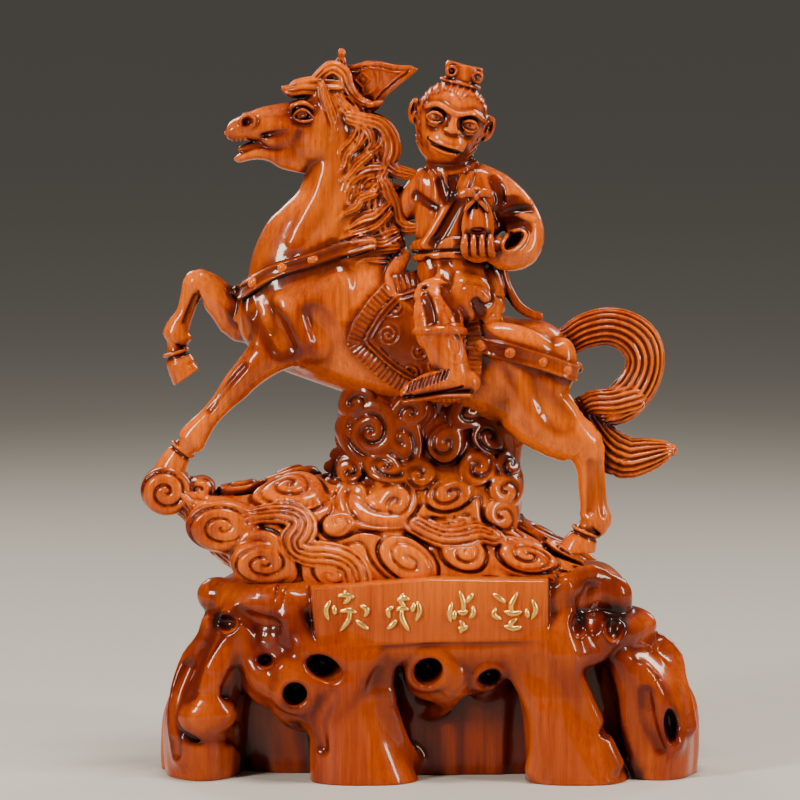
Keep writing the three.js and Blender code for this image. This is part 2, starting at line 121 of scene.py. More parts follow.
def limb_field(block, stations, steps=3, grow=0.0, grooves=None, reach=4.0, across=(0, 1, 0)):
    """Window and distance of a limb through stations [x, y, z, half height, half width]."""
    rows = along_spline(stations, steps)
    centre, half = rows[:, :3], rows[:, 3:5] + grow
    run = np.gradient(centre, axis=0)
    run /= np.maximum(np.linalg.norm(run, axis=1), 1e-9)[:, None]
    across = np.asarray(across, float)
    wide = across - run * (run @ across)[:, None]
    wide /= np.maximum(np.linalg.norm(wide, axis=1), 1e-6)[:, None]
    high = np.cross(run, wide)
    big = half.max(1)[:, None] + reach
    low, top = (centre - big).min(0), (centre + big).max(0)
    cuts, x, y, z = block.window(low, top)
    field = np.full((x.size, y.size, z.size), FAR, np.float32)
    nearest = np.full(field.shape, 1e9, np.float32)
    offset = [c.start for c in cuts]
    length = 0.0
    for i in range(len(rows) - 1):
        c0, d = centre[i], centre[i + 1] - centre[i]
        l2 = max(float(d @ d), 1e-9)
        span = np.maximum(big[i], big[i + 1])
        inner, px, py, pz = block.window(
            np.minimum(c0, centre[i + 1]) - span, np.maximum(c0, centre[i + 1]) + span
        )
        spot = tuple(slice(max(s.start - o, 0), max(s.stop - o, 0)) for s, o in zip(inner, offset))
        if min(field[spot].shape) == 0:
            continue
        nx, ny, nz = field[spot].shape
        px, py, pz = px[:nx], py[:, :ny], pz[:, :, :nz]
        qx, qy, qz = px - c0[0], py - c0[1], pz - c0[2]
        t = clamp((qx * d[0] + qy * d[1] + qz * d[2]) / l2, 0, 1)
        qx, qy, qz = qx - t * d[0], qy - t * d[1], qz - t * d[2]
        q2 = qx * qx + qy * qy + qz * qz
        dw, dh = wide[i + 1] - wide[i], high[i + 1] - high[i]
        u = qx * wide[i][0] + qy * wide[i][1] + qz * wide[i][2] + t * (
            qx * dw[0] + qy * dw[1] + qz * dw[2]
        )
        v = qx * high[i][0] + qy * high[i][1] + qz * high[i][2] + t * (
            qx * dh[0] + qy * dh[1] + qz * dh[2]
        )
        a = half[i, 0] + t * (half[i + 1, 0] - half[i, 0])
        b = half[i, 1] + t * (half[i + 1, 1] - half[i, 1])
        f = ellipse_distance(u, v, np.maximum(q2 - u * u - v * v, 0), b, a, float(half[i:i + 2].min()))
        if grooves:
            count, deep, twist = grooves
            turn = np.arctan2(u / b, v / a) * count * 0.5 + twist * (length + t * math.sqrt(l2))
            f = f + deep * (1 - np.abs(np.cos(turn))) * clamp(a / 3.0, 0.3, 1)
        length += math.sqrt(l2)
        closer = q2 < nearest[spot]
        field[spot] = np.where(closer, f, field[spot])
        nearest[spot] = np.where(closer, q2, nearest[spot])
    return cuts, field

def limb(block, stations, blend=2.0, **how):
    cuts, field = limb_field(block, stations, reach=max(4.0, blend + 1.5), **how)
    block.add(cuts, field, blend)

def carve(block, stations, blend=1.0, **how):
    cuts, field = limb_field(block, stations, reach=max(3.0, blend + 1.5), **how)
    block.cut(cuts, field, blend)

def turned(tilt=0.0, lean=0.0, yaw=0.0):
    """Columns are a piece's own axes: yaw about Z, tilt about Y as seen from the front, lean about X."""
    a, b, c = (math.radians(v) for v in (yaw, tilt, lean))
    rz = np.array([[math.cos(a), -math.sin(a), 0], [math.sin(a), math.cos(a), 0], [0, 0, 1]])
    ry = np.array([[math.cos(b), 0, math.sin(b)], [0, 1, 0], [-math.sin(b), 0, math.cos(b)]])
    rx = np.array([[1, 0, 0], [0, math.cos(c), -math.sin(c)], [0, math.sin(c), math.cos(c)]])
    return rz @ ry @ rx

def egg_field(block, place, half, reach=3.0, tilt=0.0, lean=0.0, yaw=0.0):
    own = turned(tilt, lean, yaw)
    half = np.asarray(half, float)
    span = np.sqrt(((own * half) ** 2).sum(1)) + reach
    cuts, x, y, z = block.window(np.asarray(place) - span, np.asarray(place) + span)
    x, y, z = x - place[0], y - place[1], z - place[2]
    u, v, w = (x * own[0, i] + y * own[1, i] + z * own[2, i] for i in range(3))
    k0 = np.sqrt((u / half[0]) ** 2 + (v / half[1]) ** 2 + (w / half[2]) ** 2)
    k1 = np.sqrt((u / half[0] ** 2) ** 2 + (v / half[1] ** 2) ** 2 + (w / half[2] ** 2) ** 2)
    return cuts, (np.maximum(k0, 1e-4) * (k0 - 1) / np.maximum(k1, 1e-5)).astype(np.float32)

def egg(block, place, half, blend=2.0, **turn):
    cuts, field = egg_field(block, place, half, reach=blend + 2, **turn)
    block.add(cuts, field, blend)

def scoop(block, place, half, blend=1.0, **turn):
    cuts, field = egg_field(block, place, half, reach=blend + 2, **turn)
    block.cut(cuts, field, blend)

def polygon_distance(x, z, outline):
    """Signed distance in the XZ plane to a closed outline, negative inside."""
    x, z = np.broadcast_arrays(x, z)
    best = np.full(x.shape, 1e9)
    inside = np.zeros(x.shape, bool)
    points = np.asarray(outline, float)
    for (ax, az), (bx, bz) in zip(points, np.roll(points, -1, 0)):
        ex, ez = bx - ax, bz - az
        t = clamp(((x - ax) * ex + (z - az) * ez) / (ex * ex + ez * ez + 1e-9), 0, 1)
        best = np.minimum(best, (x - ax - t * ex) ** 2 + (z - az - t * ez) ** 2)
        if ez != 0:
            inside ^= ((az > z) != (bz > z)) & (x < ex * (z - az) / ez + ax)
    return np.where(inside, -1, 1) * np.sqrt(best)

def finish_mesh(block, name, painted_shade=None):
    """The surface of a block as a mesh in metres, with its own normals and a painted shade for its recesses,
    from how enclosed each point is.
    """
    grid = openvdb.FloatGrid(FAR)
    grid.copyFromArray(np.ascontiguousarray(block.depth))
    points, _, quads = grid.convertToPolygons(isovalue=0.0, adaptivity=0.0)
    points = block.low + block.pitch * points
    halves = np.vstack([quads[:, [0, 1, 2]], quads[:, [0, 2, 3]]])
    corner = points[halves]
    volume = np.einsum("ij,ij->i", corner[:, 0], np.cross(corner[:, 1], corner[:, 2])).sum() / 6
    if volume < 0:
        quads = quads[:, ::-1]
    mesh = bpy.data.meshes.new(name)
    mesh.vertices.add(len(points))
    mesh.vertices.foreach_set("co", (points * MM).astype(np.float32).ravel())
    mesh.loops.add(quads.size)
    mesh.loops.foreach_set("vertex_index", np.ascontiguousarray(quads, dtype=np.int32).ravel())
    mesh.polygons.add(len(quads))
    mesh.polygons.foreach_set("loop_start", np.arange(0, quads.size, 4, dtype=np.int32))
    mesh.update(calc_edges=True)
    piece = bpy.data.objects.new(name, mesh)
    bpy.context.scene.collection.objects.link(piece)
    if 2 * len(quads) > MOST_TRIANGLES:
        thin = piece.modifiers.new("thin", "DECIMATE")
        thin.ratio = MOST_TRIANGLES / (2 * len(quads))
        lean = bpy.data.meshes.new_from_object(piece.evaluated_get(bpy.context.evaluated_depsgraph_get()))
        piece.modifiers.clear()
        piece.data = lean
        bpy.data.meshes.remove(mesh)
        mesh = lean
        mesh.name = name
    at = np.empty(len(mesh.vertices) * 3, np.float32)
    mesh.vertices.foreach_get("co", at)
    at = at.reshape(-1, 3).astype(float) / MM
    step = block.pitch * 0.8
    slope = np.stack([block.sample(at + step * e) - block.sample(at - step * e) for e in np.eye(3)], 1)
    slope /= np.maximum(np.linalg.norm(slope, axis=1), 1e-6)[:, None]
    # painted shade: how enclosed each point is, read off the distances a little way out along its normal,
    # darkens the wood in recesses and creases
    reaches = ((1.2, 0.35), (2.8, 0.4), (6.0, 0.25))
    recess = sum(w * clamp(1 - block.sample(at + slope * far) / far, 0, 1) for far, w in reaches)
    # then each piece's own changes to that painted shade
    if painted_shade is not None:
        recess = recess + painted_shade(at)
    ends = np.empty(2 * len(mesh.edges), np.int32)
    mesh.edges.foreach_get("vertices", ends)
    one, other, count = ends[::2], ends[1::2], len(mesh.vertices)
    degree = np.maximum(np.bincount(one, minlength=count) + np.bincount(other, minlength=count), 1)
    for _ in range(2):
        around = np.bincount(one, recess[other], count) + np.bincount(other, recess[one], count)
        recess = 0.4 * recess + 0.6 * around / degree
    mesh.attributes.new("recess", "FLOAT", "POINT").data.foreach_set("value", recess.astype(np.float32))
    mesh.polygons.foreach_set("use_smooth", np.ones(len(mesh.polygons), bool))
    mesh.normals_split_custom_set_from_vertices(slope)
    return piece

def ridge_field(block, stations, axis=0, grow=0.0, reach=4.0):
    """Window and distance of a body through [x, y, z, half, half] whose sections are ellipses."""
    rows = along_spline(stations, 8)
    if rows[0, axis] > rows[-1, axis]:
        rows = rows[::-1]
    rows = rows[np.concatenate([[True], np.diff(np.maximum.accumulate(rows[:, axis])) > 1e-6])]
    half = np.maximum(rows[:, 3:5], 0.2)
    span = half.max() + grow + reach
    cuts, x, y, z = block.window(rows[:, :3].min(0) - span, rows[:, :3].max(0) + span)
    way = (x, y, z)[axis]
    flat = way.ravel()
    mid = [np.interp(flat, rows[:, axis], rows[:, i]).reshape(way.shape) for i in range(3)]
    a = np.interp(flat, rows[:, axis], half[:, 0]).reshape(way.shape)
    b = np.interp(flat, rows[:, axis], half[:, 1]).reshape(way.shape)
    slope = np.abs(np.gradient(np.minimum(a, b).ravel(), block.pitch)).reshape(way.shape)
    past = np.maximum(np.maximum(rows[0, axis] - way, way - rows[-1, axis]), 0)
    u = (y - mid[1]) if axis == 0 else ((y - mid[1]) if axis == 2 else (x - mid[0]))
    v = (z - mid[2]) if axis == 0 else ((x - mid[0]) if axis == 2 else (z - mid[2]))
    a, b = a.astype(np.float32), b.astype(np.float32)
    f = ellipse_distance(
        u.astype(np.float32), v.astype(np.float32), (past * past).astype(np.float32), b, a,
        np.minimum(a, b)
    )
    return cuts, (f / np.sqrt(1 + slope * slope)).astype(np.float32) - grow

def ridge(block, stations, blend=2.0, **how):
    cuts, field = ridge_field(block, stations, reach=max(4.0, blend + 1.5), **how)
    block.add(cuts, field, blend)

def face_at(block, x, z, side=-1):
    """Where a line along Y through (x, z) meets the surface, from the front (-1) or the back (1)."""
    i = int(clamp(round((x - block.low[0]) / block.pitch), 0, block.depth.shape[0] - 1))
    k = int(clamp(round((z - block.low[2]) / block.pitch), 0, block.depth.shape[2] - 1))
    inside = np.nonzero(block.depth[i, :, k] < 0)[0]
    if len(inside) == 0:
        return 0.0
    return float(block.axes[1][inside[0] if side < 0 else inside[-1]])

def strand(block, line, blend=3.0, sink=0.0, side=-1, how=limb, **more):
    """A ridge or a groove along [x, z, half height, half width] rows, laid on the surface of one side."""
    rows = [[x, face_at(block, x, z, side) - side * sink, z, a, b] for x, z, a, b in line]
    for i in range(1, len(rows) - 1):
        rows[i][1] = 0.25 * rows[i - 1][1] + 0.5 * rows[i][1] + 0.25 * rows[i + 1][1]
    how(block, rows, blend=blend, **more)

def hollow(block, x, z, wide, tall, deep, blend=3.0, side=-1, rim=0.0, tilt=0.0):
    """A rounded hole from one side with an optional raised lip round it."""
    y = face_at(block, x, z, side)
    if rim:
        own = turned(tilt)
        lip = []
        for a in np.linspace(0, 2 * math.pi, 17):
            dx, _, dz = own @ ((wide + rim * 0.6) * math.cos(a), 0, (tall + rim * 0.6) * math.sin(a))
            lip.append([x + dx, face_at(block, x + dx, z + dz, side), z + dz, rim, rim])
        limb(block, lip, blend=blend)
    scoop(block, (x, y, z), (wide, deep, tall), blend=min(blend, 2.0), tilt=tilt)

class Shade:
    """A shader socket that takes part in arithmetic, and adds any other node to its tree."""

    def __init__(self, tree, socket=None):
        self.tree, self.socket = tree, socket

    def node(self, kind, settings=None, sockets=None, out=0):
        made = self.tree.nodes.new(kind)
        for name, value in (settings or {}).items():
            if name == "stops":
                while len(made.color_ramp.elements) < len(value):
                    made.color_ramp.elements.new(0.5)
                for stop, (place, colour) in zip(made.color_ramp.elements, value):
                    stop.position, stop.color = place, (*colour, 1)
            else:
                setattr(made, name, value)
        for name, value in (sockets or {}).items():
            if isinstance(value, Shade):
                self.tree.links.new(value.socket, made.inputs[name])
            else:
                made.inputs[name].default_value = value
        return Shade(self.tree, made.outputs[out])

    def maths(self, operation, *values):
        return self.node("ShaderNodeMath", {"operation": operation}, dict(enumerate(values)))

    def __add__(self, other):
        return self.maths("ADD", self, other)

    __radd__ = __add__

    def __mul__(self, other):
        return self.maths("MULTIPLY", self, other)

    __rmul__ = __mul__

    def __sub__(self, other):
        return self.maths("SUBTRACT", self, other)

    def __rsub__(self, other):
        return self.maths("SUBTRACT", other, self)

    def within(self, low, high):
        return self.node("ShaderNodeMapRange", {}, {0: self, 1: low, 2: high, 3: 0.0, 4: 1.0})

    def blend(self, amount, first, second, how="MIX"):
        return self.node(
            "ShaderNodeMix", {"data_type": "RGBA", "blend_type": how}, {0: amount, 6: first, 7: second}, 2
        )

def new_material(name):
    made = bpy.data.materials.new(name)
    made.use_nodes = True
    tree = made.node_tree
    return made, Shade(tree), tree.nodes["Principled BSDF"]

GOLDEN, RUSSET, DEEP = (0.72, 0.136, 0.0002, 1), (0.21, 0.0125, 0.0001, 1), (0.045, 0.0022, 0.0002, 1)
LOW_TONE = (0.19, 0.0085, 0.0001, 1)  # darker and redder towards the bottom, fully below 0.088 m and fading out by 0.122 m
PITH = (0.03, 0.16, 0.0)  # the middle of the trunk that the block was cut from lies behind the carving

def lacquered_rosewood():
    made, shade, skin = new_material("lacquered_rosewood")
    place = shade.node("ShaderNodeTexCoord", out=3)
    recess = shade.node("ShaderNodeAttribute", {"attribute_name": "recess"}, out=2)
    from_pith = shade.node("ShaderNodeVectorMath", {"operation": "SUBTRACT"}, {0: place, 1: PITH})
    flat = shade.node("ShaderNodeVectorMath", {"operation": "MULTIPLY"}, {0: from_pith, 1: (1, 1, 0.16)})
    drift = shade.node(
        "ShaderNodeTexNoise", {}, {"Vector": flat, "Scale": 17.0, "Detail": 2.0, "Roughness": 0.5}
    )
    radius = shade.node("ShaderNodeVectorMath", {"operation": "LENGTH"}, {0: flat}, 1)
    rings = (radius * 260 + drift * 9).maths("SINE", radius * 260 + drift * 9)
    lines = shade.node("ShaderNodeVectorMath", {"operation": "MULTIPLY"}, {0: place, 1: (1, 1, 0.045)})
    streaks = shade.node(
        "ShaderNodeTexNoise", {}, {"Vector": lines, "Scale": 420.0, "Detail": 3.0, "Roughness": 0.6}
    )
    pores = shade.node(
        "ShaderNodeTexNoise", {}, {"Vector": lines, "Scale": 1500.0, "Detail": 2.0, "Roughness": 0.55}
    )
    cloudy = shade.node(
        "ShaderNodeTexNoise", {}, {"Vector": place, "Scale": 9.0, "Detail": 2.0, "Roughness": 0.5}
    )
    figure = rings * 0.18 + streaks * 1.1 + cloudy * 0.7 - 0.48
    wood = shade.blend(figure.within(0.1, 0.95), GOLDEN, RUSSET)
    wood = shade.blend(pores.within(0.58, 0.75) * 0.45, wood, DEEP)
    height = shade.node("ShaderNodeSeparateXYZ", {}, {0: place}, 2)
    wood = shade.blend((1 - height.within(0.088, 0.122)) * 0.5, wood, LOW_TONE)
    # painted shade: where the recess shade is high the wood darkens to dark red-brown, and to near black in
    # the deepest recesses
    wood = shade.blend(recess.within(0.05, 0.27) * 0.86, wood, (0.095, 0.0042, 0.0002, 1))
    wood = shade.blend(recess.within(0.2, 0.62), wood, (0.012, 0.0007, 0.0002, 1))
    shade.tree.links.new(wood.socket, skin.inputs["Base Color"])
    gloss = streaks * 0.1 + recess * 0.18 + 0.3
    shade.tree.links.new(gloss.socket, skin.inputs["Roughness"])
    uneven = shade.node(
        "ShaderNodeTexNoise", {}, {"Vector": place, "Scale": 140.0, "Detail": 2.0, "Roughness": 0.5}
    )
    ripple = shade.node("ShaderNodeBump", {}, {"Strength": 0.16, "Distance": 0.002, "Height": uneven})
    fine = shade.node(
        "ShaderNodeBump", {}, {"Strength": 0.08, "Distance": 0.0006, "Height": pores, "Normal": ripple}
    )
    shade.tree.links.new(fine.socket, skin.inputs["Normal"])
    skin.inputs["Specular IOR Level"].default_value = 0.07
    skin.inputs["Coat Weight"].default_value = 0.88
    skin.inputs["Coat Roughness"].default_value = 0.09
    skin.inputs["Coat IOR"].default_value = 1.36
    return made

ROSEWOOD = lacquered_rosewood()

def settle(piece, material=None, stands_for_block=True):
    piece.data.materials.clear()
    piece.data.materials.append(material or ROSEWOOD)
    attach(piece, "root")
    if stands_for_block:
        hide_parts(CARVING)
    piece.data.materials[0] == ROSEWOOD

stump = Block((-157, -61, -3), (157, 61, 122), 0.7 * COARSE)
SLAB = [
  [-117.5, -4, 94, 2, 4], [-115, -4, 94, 8, 14], [-109, -3, 94, 12, 24], [-88, 0, 97, 17, 42],
  [-45, 0, 98, 18, 51], [10, 0, 99, 18, 53], [65, 0, 100, 18, 50], [98, 0, 101, 14, 34],
  [110, 0, 99, 9, 18], [113, 0, 99, 2, 4],
]
CORE = [[4, 0, 100, 92, 38], [2, 0, 70, 104, 27], [2, 0, 30, 112, 25], [2, 0, -4, 108, 24]]
LINTEL = [
  [-106, -12, 80, 11, 23], [-62, -34, 75, 15, 17], [-8, -38, 75, 12, 17], [35, -38, 74, 16, 17],
  [84, -32, 76, 14, 19], [112, -10, 80, 11, 23],
]
FEET = [
  [
    [-96, -6, 88, 15, 33], [-108, -8, 64, 19, 37], [-118, -8, 36, 22, 38], [-120, -8, 14, 22, 37],
    [-120, -8, -4, 21, 35]
  ],
  [[-40, -36, 80, 21, 18], [-38, -38, 40, 22, 19], [-35, -38, 16, 26, 20], [-30, -38, -4, 31, 22]],
  [[66, -36, 80, 20, 17], [75, -38, 40, 20, 18], [82, -38, 16, 25, 20], [86, -38, -4, 29, 22]],
  [
    [98, -4, 80, 12, 29], [116, -6, 62, 19, 36], [127, -6, 42, 23, 38], [130, -6, 18, 23, 37],
    [129, -6, -4, 23, 35]
  ],
  [[-46, 26, 88, 22, 18], [-46, 37, 44, 24, 19], [-51, 37, -4, 32, 22]],
  [[50, 26, 88, 24, 18], [49, 37, 44, 25, 19], [54, 37, -4, 34, 22]],
]
ridge(stump, SLAB, blend=3)
ridge(stump, CORE, blend=5, axis=2)
limb(stump, LINTEL, blend=7)
for foot in FEET:
    ridge(stump, foot, blend=7, axis=2)
egg(stump, (-80, -36, 58), (17, 17, 19), blend=6)
egg(stump, (-66, -40, 62), (17, 13, 15), blend=5)
egg(stump, (-64, -42, 46), (14, 11, 13), blend=5)
egg(stump, (8, -40, 58), (17, 13, 15), blend=6)
egg(stump, (30, -40, 62), (15, 12, 12), blend=5)
# root ridges seen on the front: [x, z, half height, half width]
ROOTS = [
  [[-111.8, 101.3, 5, 6], [-97.8, 96.8, 7, 7], [-81.5, 96.8, 8, 7], [-69.6, 92.4, 6, 5]],
  [
    [-102.1, 89.1, 5, 6], [-105.3, 76.9, 6, 6], [-111.8, 61.5, 6, 7], [-115.1, 46.5, 5, 6],
    [-116.2, 35.5, 3, 4]
  ],
  [
    [-116.2, 76.7, 4, 5], [-124.9, 64.6, 5, 5], [-130.3, 49.1, 5, 5], [-132.5, 31.4, 5, 5],
    [-130.3, 12.6, 4, 5]
  ],
  [
    [-97.8, 83.6, 4, 4], [-94.5, 71.4, 4, 4], [-85.8, 55.9, 4, 4], [-76.1, 57.0, 4, 4],
    [-67.4, 64.8, 4, 4], [-62.0, 72.5, 3, 3]
  ],
  [
    [-71.6, 90.8, 5, 4], [-67.3, 83.1, 5, 4], [-61.9, 75.4, 4, 4], [-53.2, 70.9, 4, 4],
    [-38.1, 68.7, 4, 4], [-25.1, 70.9, 3, 3]
  ],
  [
    [-73.8, 62.1, 3, 4], [-58.6, 57.7, 4, 4], [-44.6, 51.0, 4, 4], [-37.0, 58.8, 4, 4],
    [-31.6, 68.7, 3, 3]
  ],
  [
    [-78.1, 49.9, 3, 4], [-73.8, 37.8, 4, 4], [-66.2, 31.1, 4, 4], [-55.4, 35.5, 4, 4],
    [-46.8, 44.4, 4, 4], [-39.2, 55.5, 3, 3]
  ],
  [[-18.6, 65.6, 3, 3], [-20.8, 50.1, 4, 4], [-16.5, 33.5, 4, 4], [-12.2, 18.1, 5, 4], [-3.5, 5.9, 4, 4]],
  [
    [-12.2, 62.3, 3, 3], [-8.9, 47.9, 4, 4], [-1.4, 40.2, 4, 4], [10.5, 39.1, 4, 4], [15.9, 49.0, 4, 4],
    [17.0, 60.1, 3, 3]
  ],
  [
    [14.9, 64.5, 3, 3], [18.1, 55.7, 4, 4], [25.7, 53.4, 3, 3], [32.1, 47.9, 3, 3], [40.8, 50.1, 3, 3],
    [46.2, 57.9, 3, 3]
  ],
  [[49.4, 64.5, 4, 4], [59.1, 50.1, 4, 4], [64.5, 35.8, 4, 4], [65.6, 19.7, 4, 4], [62.4, 7.0, 4, 4]],
  [[77.6, 70.9, 4, 4], [86.2, 49.9, 4, 4], [95.9, 30.0, 4, 4], [105.7, 10.1, 4, 4]],
  [
    [73.4, 104.4, 5, 4], [78.9, 92.2, 4, 4], [76.7, 80.0, 4, 4], [84.3, 70.1, 4, 4], [96.2, 71.2, 4, 4],
    [100.5, 78.9, 3, 3]
  ],
  [[78.9, 107.7, 4, 4], [92.9, 111.0, 5, 5], [104.9, 102.2, 5, 5], [107.0, 95.5, 4, 4]],
  [
    [100.6, 83.2, 4, 4], [111.4, 76.5, 5, 5], [123.4, 71.0, 6, 5], [134.2, 67.7, 5, 5],
    [140.7, 48.9, 5, 5], [146.1, 26.8, 4, 4]
  ],
  [[109.2, 65.7, 4, 4], [114.6, 49.1, 4, 4], [115.7, 29.2, 4, 4], [119.0, 11.5, 4, 4]],
  [[120.0, 60.1, 3, 3], [127.6, 45.8, 4, 4], [130.9, 28.1, 3, 3], [138.5, 19.2, 4, 4]],
]
for line in ROOTS:
    strand(stump, [[x, z, a * 1.3, b * 0.9] for x, z, a, b in line], blend=7, sink=1.2)
# hollows between the roots: [x, z, half width, half height, depth, lip, tilt]
FOLDS = [
  [[-110.8, 81.2, 1.2, 2.0], [-118.4, 67.9, 1.8, 3], [-123.3, 52.4, 1.8, 3], [-124.9, 40.2, 1.2, 2]],
  [[-127.1, 61.2, 1.0, 2], [-133.6, 46.9, 1.6, 2.6], [-135.8, 31.4, 1.6, 2.6], [-134.7, 14.8, 1.0, 2]],
  [[-102.1, 59.2, 1.0, 2], [-107.5, 47.1, 1.6, 3], [-105.3, 31.6, 1.6, 3], [-99.9, 16.1, 1.0, 2]],
  [[-130.3, 31.4, 1.0, 1], [-122.7, 25.3, 1.6, 2], [-111.9, 22.5, 1.8, 2.2], [-101.1, 24.7, 1.2, 1.4]],
  [[-48.9, 49.0, 1.0, 2], [-55.4, 35.8, 1.4, 2.4], [-53.2, 20.3, 1.0, 2]],
  [[97.1, 61.9, 1.0, 2], [101.4, 46.4, 1.6, 2.8], [100.3, 27.6, 1.0, 2]],
  [[122.1, 49.3, 1.0, 2], [124.3, 34.9, 1.6, 2.8], [130.8, 18.3, 1.0, 2]],
  [[91.8, 105.7, 1.0, 2], [89.6, 96.8, 1.6, 2.8], [92.9, 84.7, 1.0, 2]],
  [[-98.8, 92.4, 1.0, 2], [-89.1, 88.0, 1.6, 2.8], [-78.3, 86.9, 1.0, 2]],
]
for line in FOLDS:
    strand(stump, [[x, z, 1.6 * a, 0.7 * b] for x, z, a, b in line], blend=5, how=carve)
HOLLOWS = [
  [-53.2, 64.5, 10, 6.5, 18, 0, 25], [-68.3, 50.1, 7, 7, 18, 2.2, 0],
  [-84.5, 67.3, 4.5, 3.5, 8, 0, 0], [4.1, 62.3, 8.2, 7, 18, 2.4, -30],
  [37.0, 58.4, 6.5, 4.6, 12, 1.6, -25], [105.9, 85.8, 6, 9, 9, 0, 15],
  [136.3, 30.3, 4, 10, 9, 0, -8], [-106.4, 86.9, 7, 5, 8, 0, 0],
  [85.3, 86.9, 5, 7, 5, 0, 0],
]
mouths = []
for x, z, wide, tall, deep, lip, tilt in HOLLOWS:
    mouths.append((x, face_at(stump, x, z), z, wide, tall))
    hollow(stump, x, z, wide, tall, deep, blend=4.5, rim=lip, tilt=tilt)
BUMPS = [
  [-115.9, 35.9, 15, 9, -5], [-114.6, 98.9, 8, 8, 0], [107.0, 98.9, 8, 10, 0]
]
for x, z, wide, tall, tilt in BUMPS:
    y = face_at(stump, x, z)
    egg(stump, (x, y + 6, z), (wide, 9, tall), blend=6, tilt=tilt)
# broad vertical waves of the roots, all round
cuts, x, y, z = stump.window((-157, -62, -4), (157, 62, 96))
turn = np.arctan2(y * 2.2, x)
wave = 1.4 * np.sin(turn * 17 + 0.03 * z + 1.0) + 0.7 * np.sin(turn * 31 - 0.02 * z)
fade = clamp((88 - z) / 30, 0, 1)
back = clamp((y + 30) / 20, 0.25, 1)
stump.depth[cuts] += (wave * fade * back).astype(np.float32)
BACK_ROOTS = [
  [[-92, 92, 6, 6], [-84, 70, 6, 6], [-90, 46, 6, 6], [-84, 20, 6, 6]],
  [[-20, 92, 6, 6], [-28, 70, 6, 6], [-18, 50, 5, 5], [-26, 28, 5, 5], [-22, 6, 5, 5]],
  [[30, 90, 6, 6], [20, 66, 6, 6], [28, 44, 5, 5], [22, 20, 6, 6]],
  [[80, 92, 6, 6], [86, 66, 6, 6], [78, 44, 6, 6], [88, 16, 6, 6]],
]
for line in BACK_ROOTS:
    strand(stump, line, blend=5, side=1)
for x, z, wide, tall in [[-64, 66, 8, 10], [2, 60, 9, 7], [60, 62, 7, 9], [100, 60, 6, 8]]:
    hollow(stump, x, z, wide, tall, 12, side=1, rim=3)
PLAQUE = [[-60.1, 108.1], [5.1, 113.6], [69.3, 112.5], [69.8, 78.2], [5.1, 77.6], [-57.4, 73.8]]
PLAQUE_BOW = 0.0006  # how fast its face curves back from the middle, at x = 5
cuts, x, y, z = stump.window((-66, -62, 66), (76, -30, 118))
edge = polygon_distance(x[:, 0], z[0], PLAQUE).astype(np.float32)[:, None, :]
rim = 0.8 * clamp(1 - np.abs(edge + 1.2) / 1.2, 0, 1)
bow = PLAQUE_BOW * (x - 5) ** 2
face = np.abs(y - bow + 47) - 9.6 - rim
stump.add(cuts, soft_cut(edge + 0 * y, -face, 3.5).astype(np.float32), 1.6)
HALF_DEPTH = 58.5  # mm: the stump reaches no further to the front or the back
cuts, x, y, z = stump.window((-157, -62, -4), (157, 62, 124))
stump.depth[cuts] = soft_cut(stump.depth[cuts], HALF_DEPTH - np.abs(y) + 0 * (x + z), 3).astype(np.float32)
cuts, x, y, z = stump.window((-157, -62, -4), (157, 62, 3))
stump.depth[cuts] = np.maximum(stump.depth[cuts], (-z + 0.0 * x * y).astype(np.float32))

def stump_painted_shade(at):
    """Painted shade on the recessed core between the feet and inside the holes, and 0.1 less of the recess
    shade all over the stump.
    """
    core = clamp((at[:, 1] + 42) / 12, 0, 1) * clamp((32 - at[:, 1]) / 12, 0, 1)
    core = core * clamp((92 - at[:, 2]) / 10, 0, 1)
    painted_shade = 0.2 * core * (np.abs(at[:, 0]) < 100) - 0.1
    # painted shade inside each hole, darker deeper in
    for x, y, z, wide, tall in mouths:
        inside = clamp(1.6 - ((at[:, 0] - x) / wide) ** 2 - ((at[:, 2] - z) / tall) ** 2, 0, 1)
        painted_shade = painted_shade + 0.6 * inside * clamp((at[:, 1] - y - 1) / 6, 0, 1) * (at[:, 1] < 0)
    return painted_shade

settle(finish_mesh(stump, "root_stump", stump_painted_shade))


# The cloud bank and its column: carved from the block above the stump as rolled scrolls that overlap
# like leaves, with long bands winding between them. The column, darkened with painted shadow, carries the
# belly.
def line_distance(x, z, line):
    """Distance in the XZ plane to an open line, and the length along it of the nearest point."""
    x, z = np.broadcast_arrays(x, z)
    best, along, start = np.full(x.shape, 1e9), np.zeros(x.shape), 0.0
    points = np.asarray(line, float)
    for (ax, az), (bx, bz) in zip(points[:-1], points[1:]):
        ex, ez = bx - ax, bz - az
        size = math.hypot(ex, ez)
        t = clamp(((x - ax) * ex + (z - az) * ez) / (size * size + 1e-9), 0, 1)
        d = np.hypot(x - ax - t * ex, z - az - t * ez)
        along = np.where(d < best, start + t * size, along)
        best = np.minimum(best, d)
        start += size
    return best, along

clouds = Block((-158, -60, 84), (112, 60, 214), 0.6 * COARSE)
BANK = [
  [-150, -12, 157, 3, 3], [-147, -12, 156.5, 8, 8], [-138, -12, 155, 11, 11], [-127, -11, 149, 13.5, 15],
  [-114, -8, 137.5, 19, 21], [-95, -3, 131, 26, 32], [-78, 0, 129, 33, 39], [-63, 0, 125.5, 40, 43],
  [-36, 0, 121, 41.5, 45.5], [8, 0, 117, 38, 46.5], [50, 0, 111, 29, 45], [78, 0, 106, 20, 40],
  [96, 0, 101, 14, 30], [102, 0, 101, 8, 20], [105, 0, 101, 2, 4],
]
COLUMN = [
  [-3, 0, 212, 38, 19], [-3, 0, 190, 43, 21], [0, 0, 176, 46, 24], [2, 0, 160, 54, 34],
  [2, 0, 140, 56, 38]
]
GIRTH = 46.0  # mm of map for a radian round the bank
LOOK_DOWN = 0.105  # slope of the line of sight that the swirls were placed along
bank_rows = along_spline(BANK, 8)

def bank_at(x):
    return [np.interp(x, bank_rows[:, 0], bank_rows[:, i]) for i in (1, 2, 3, 4)]

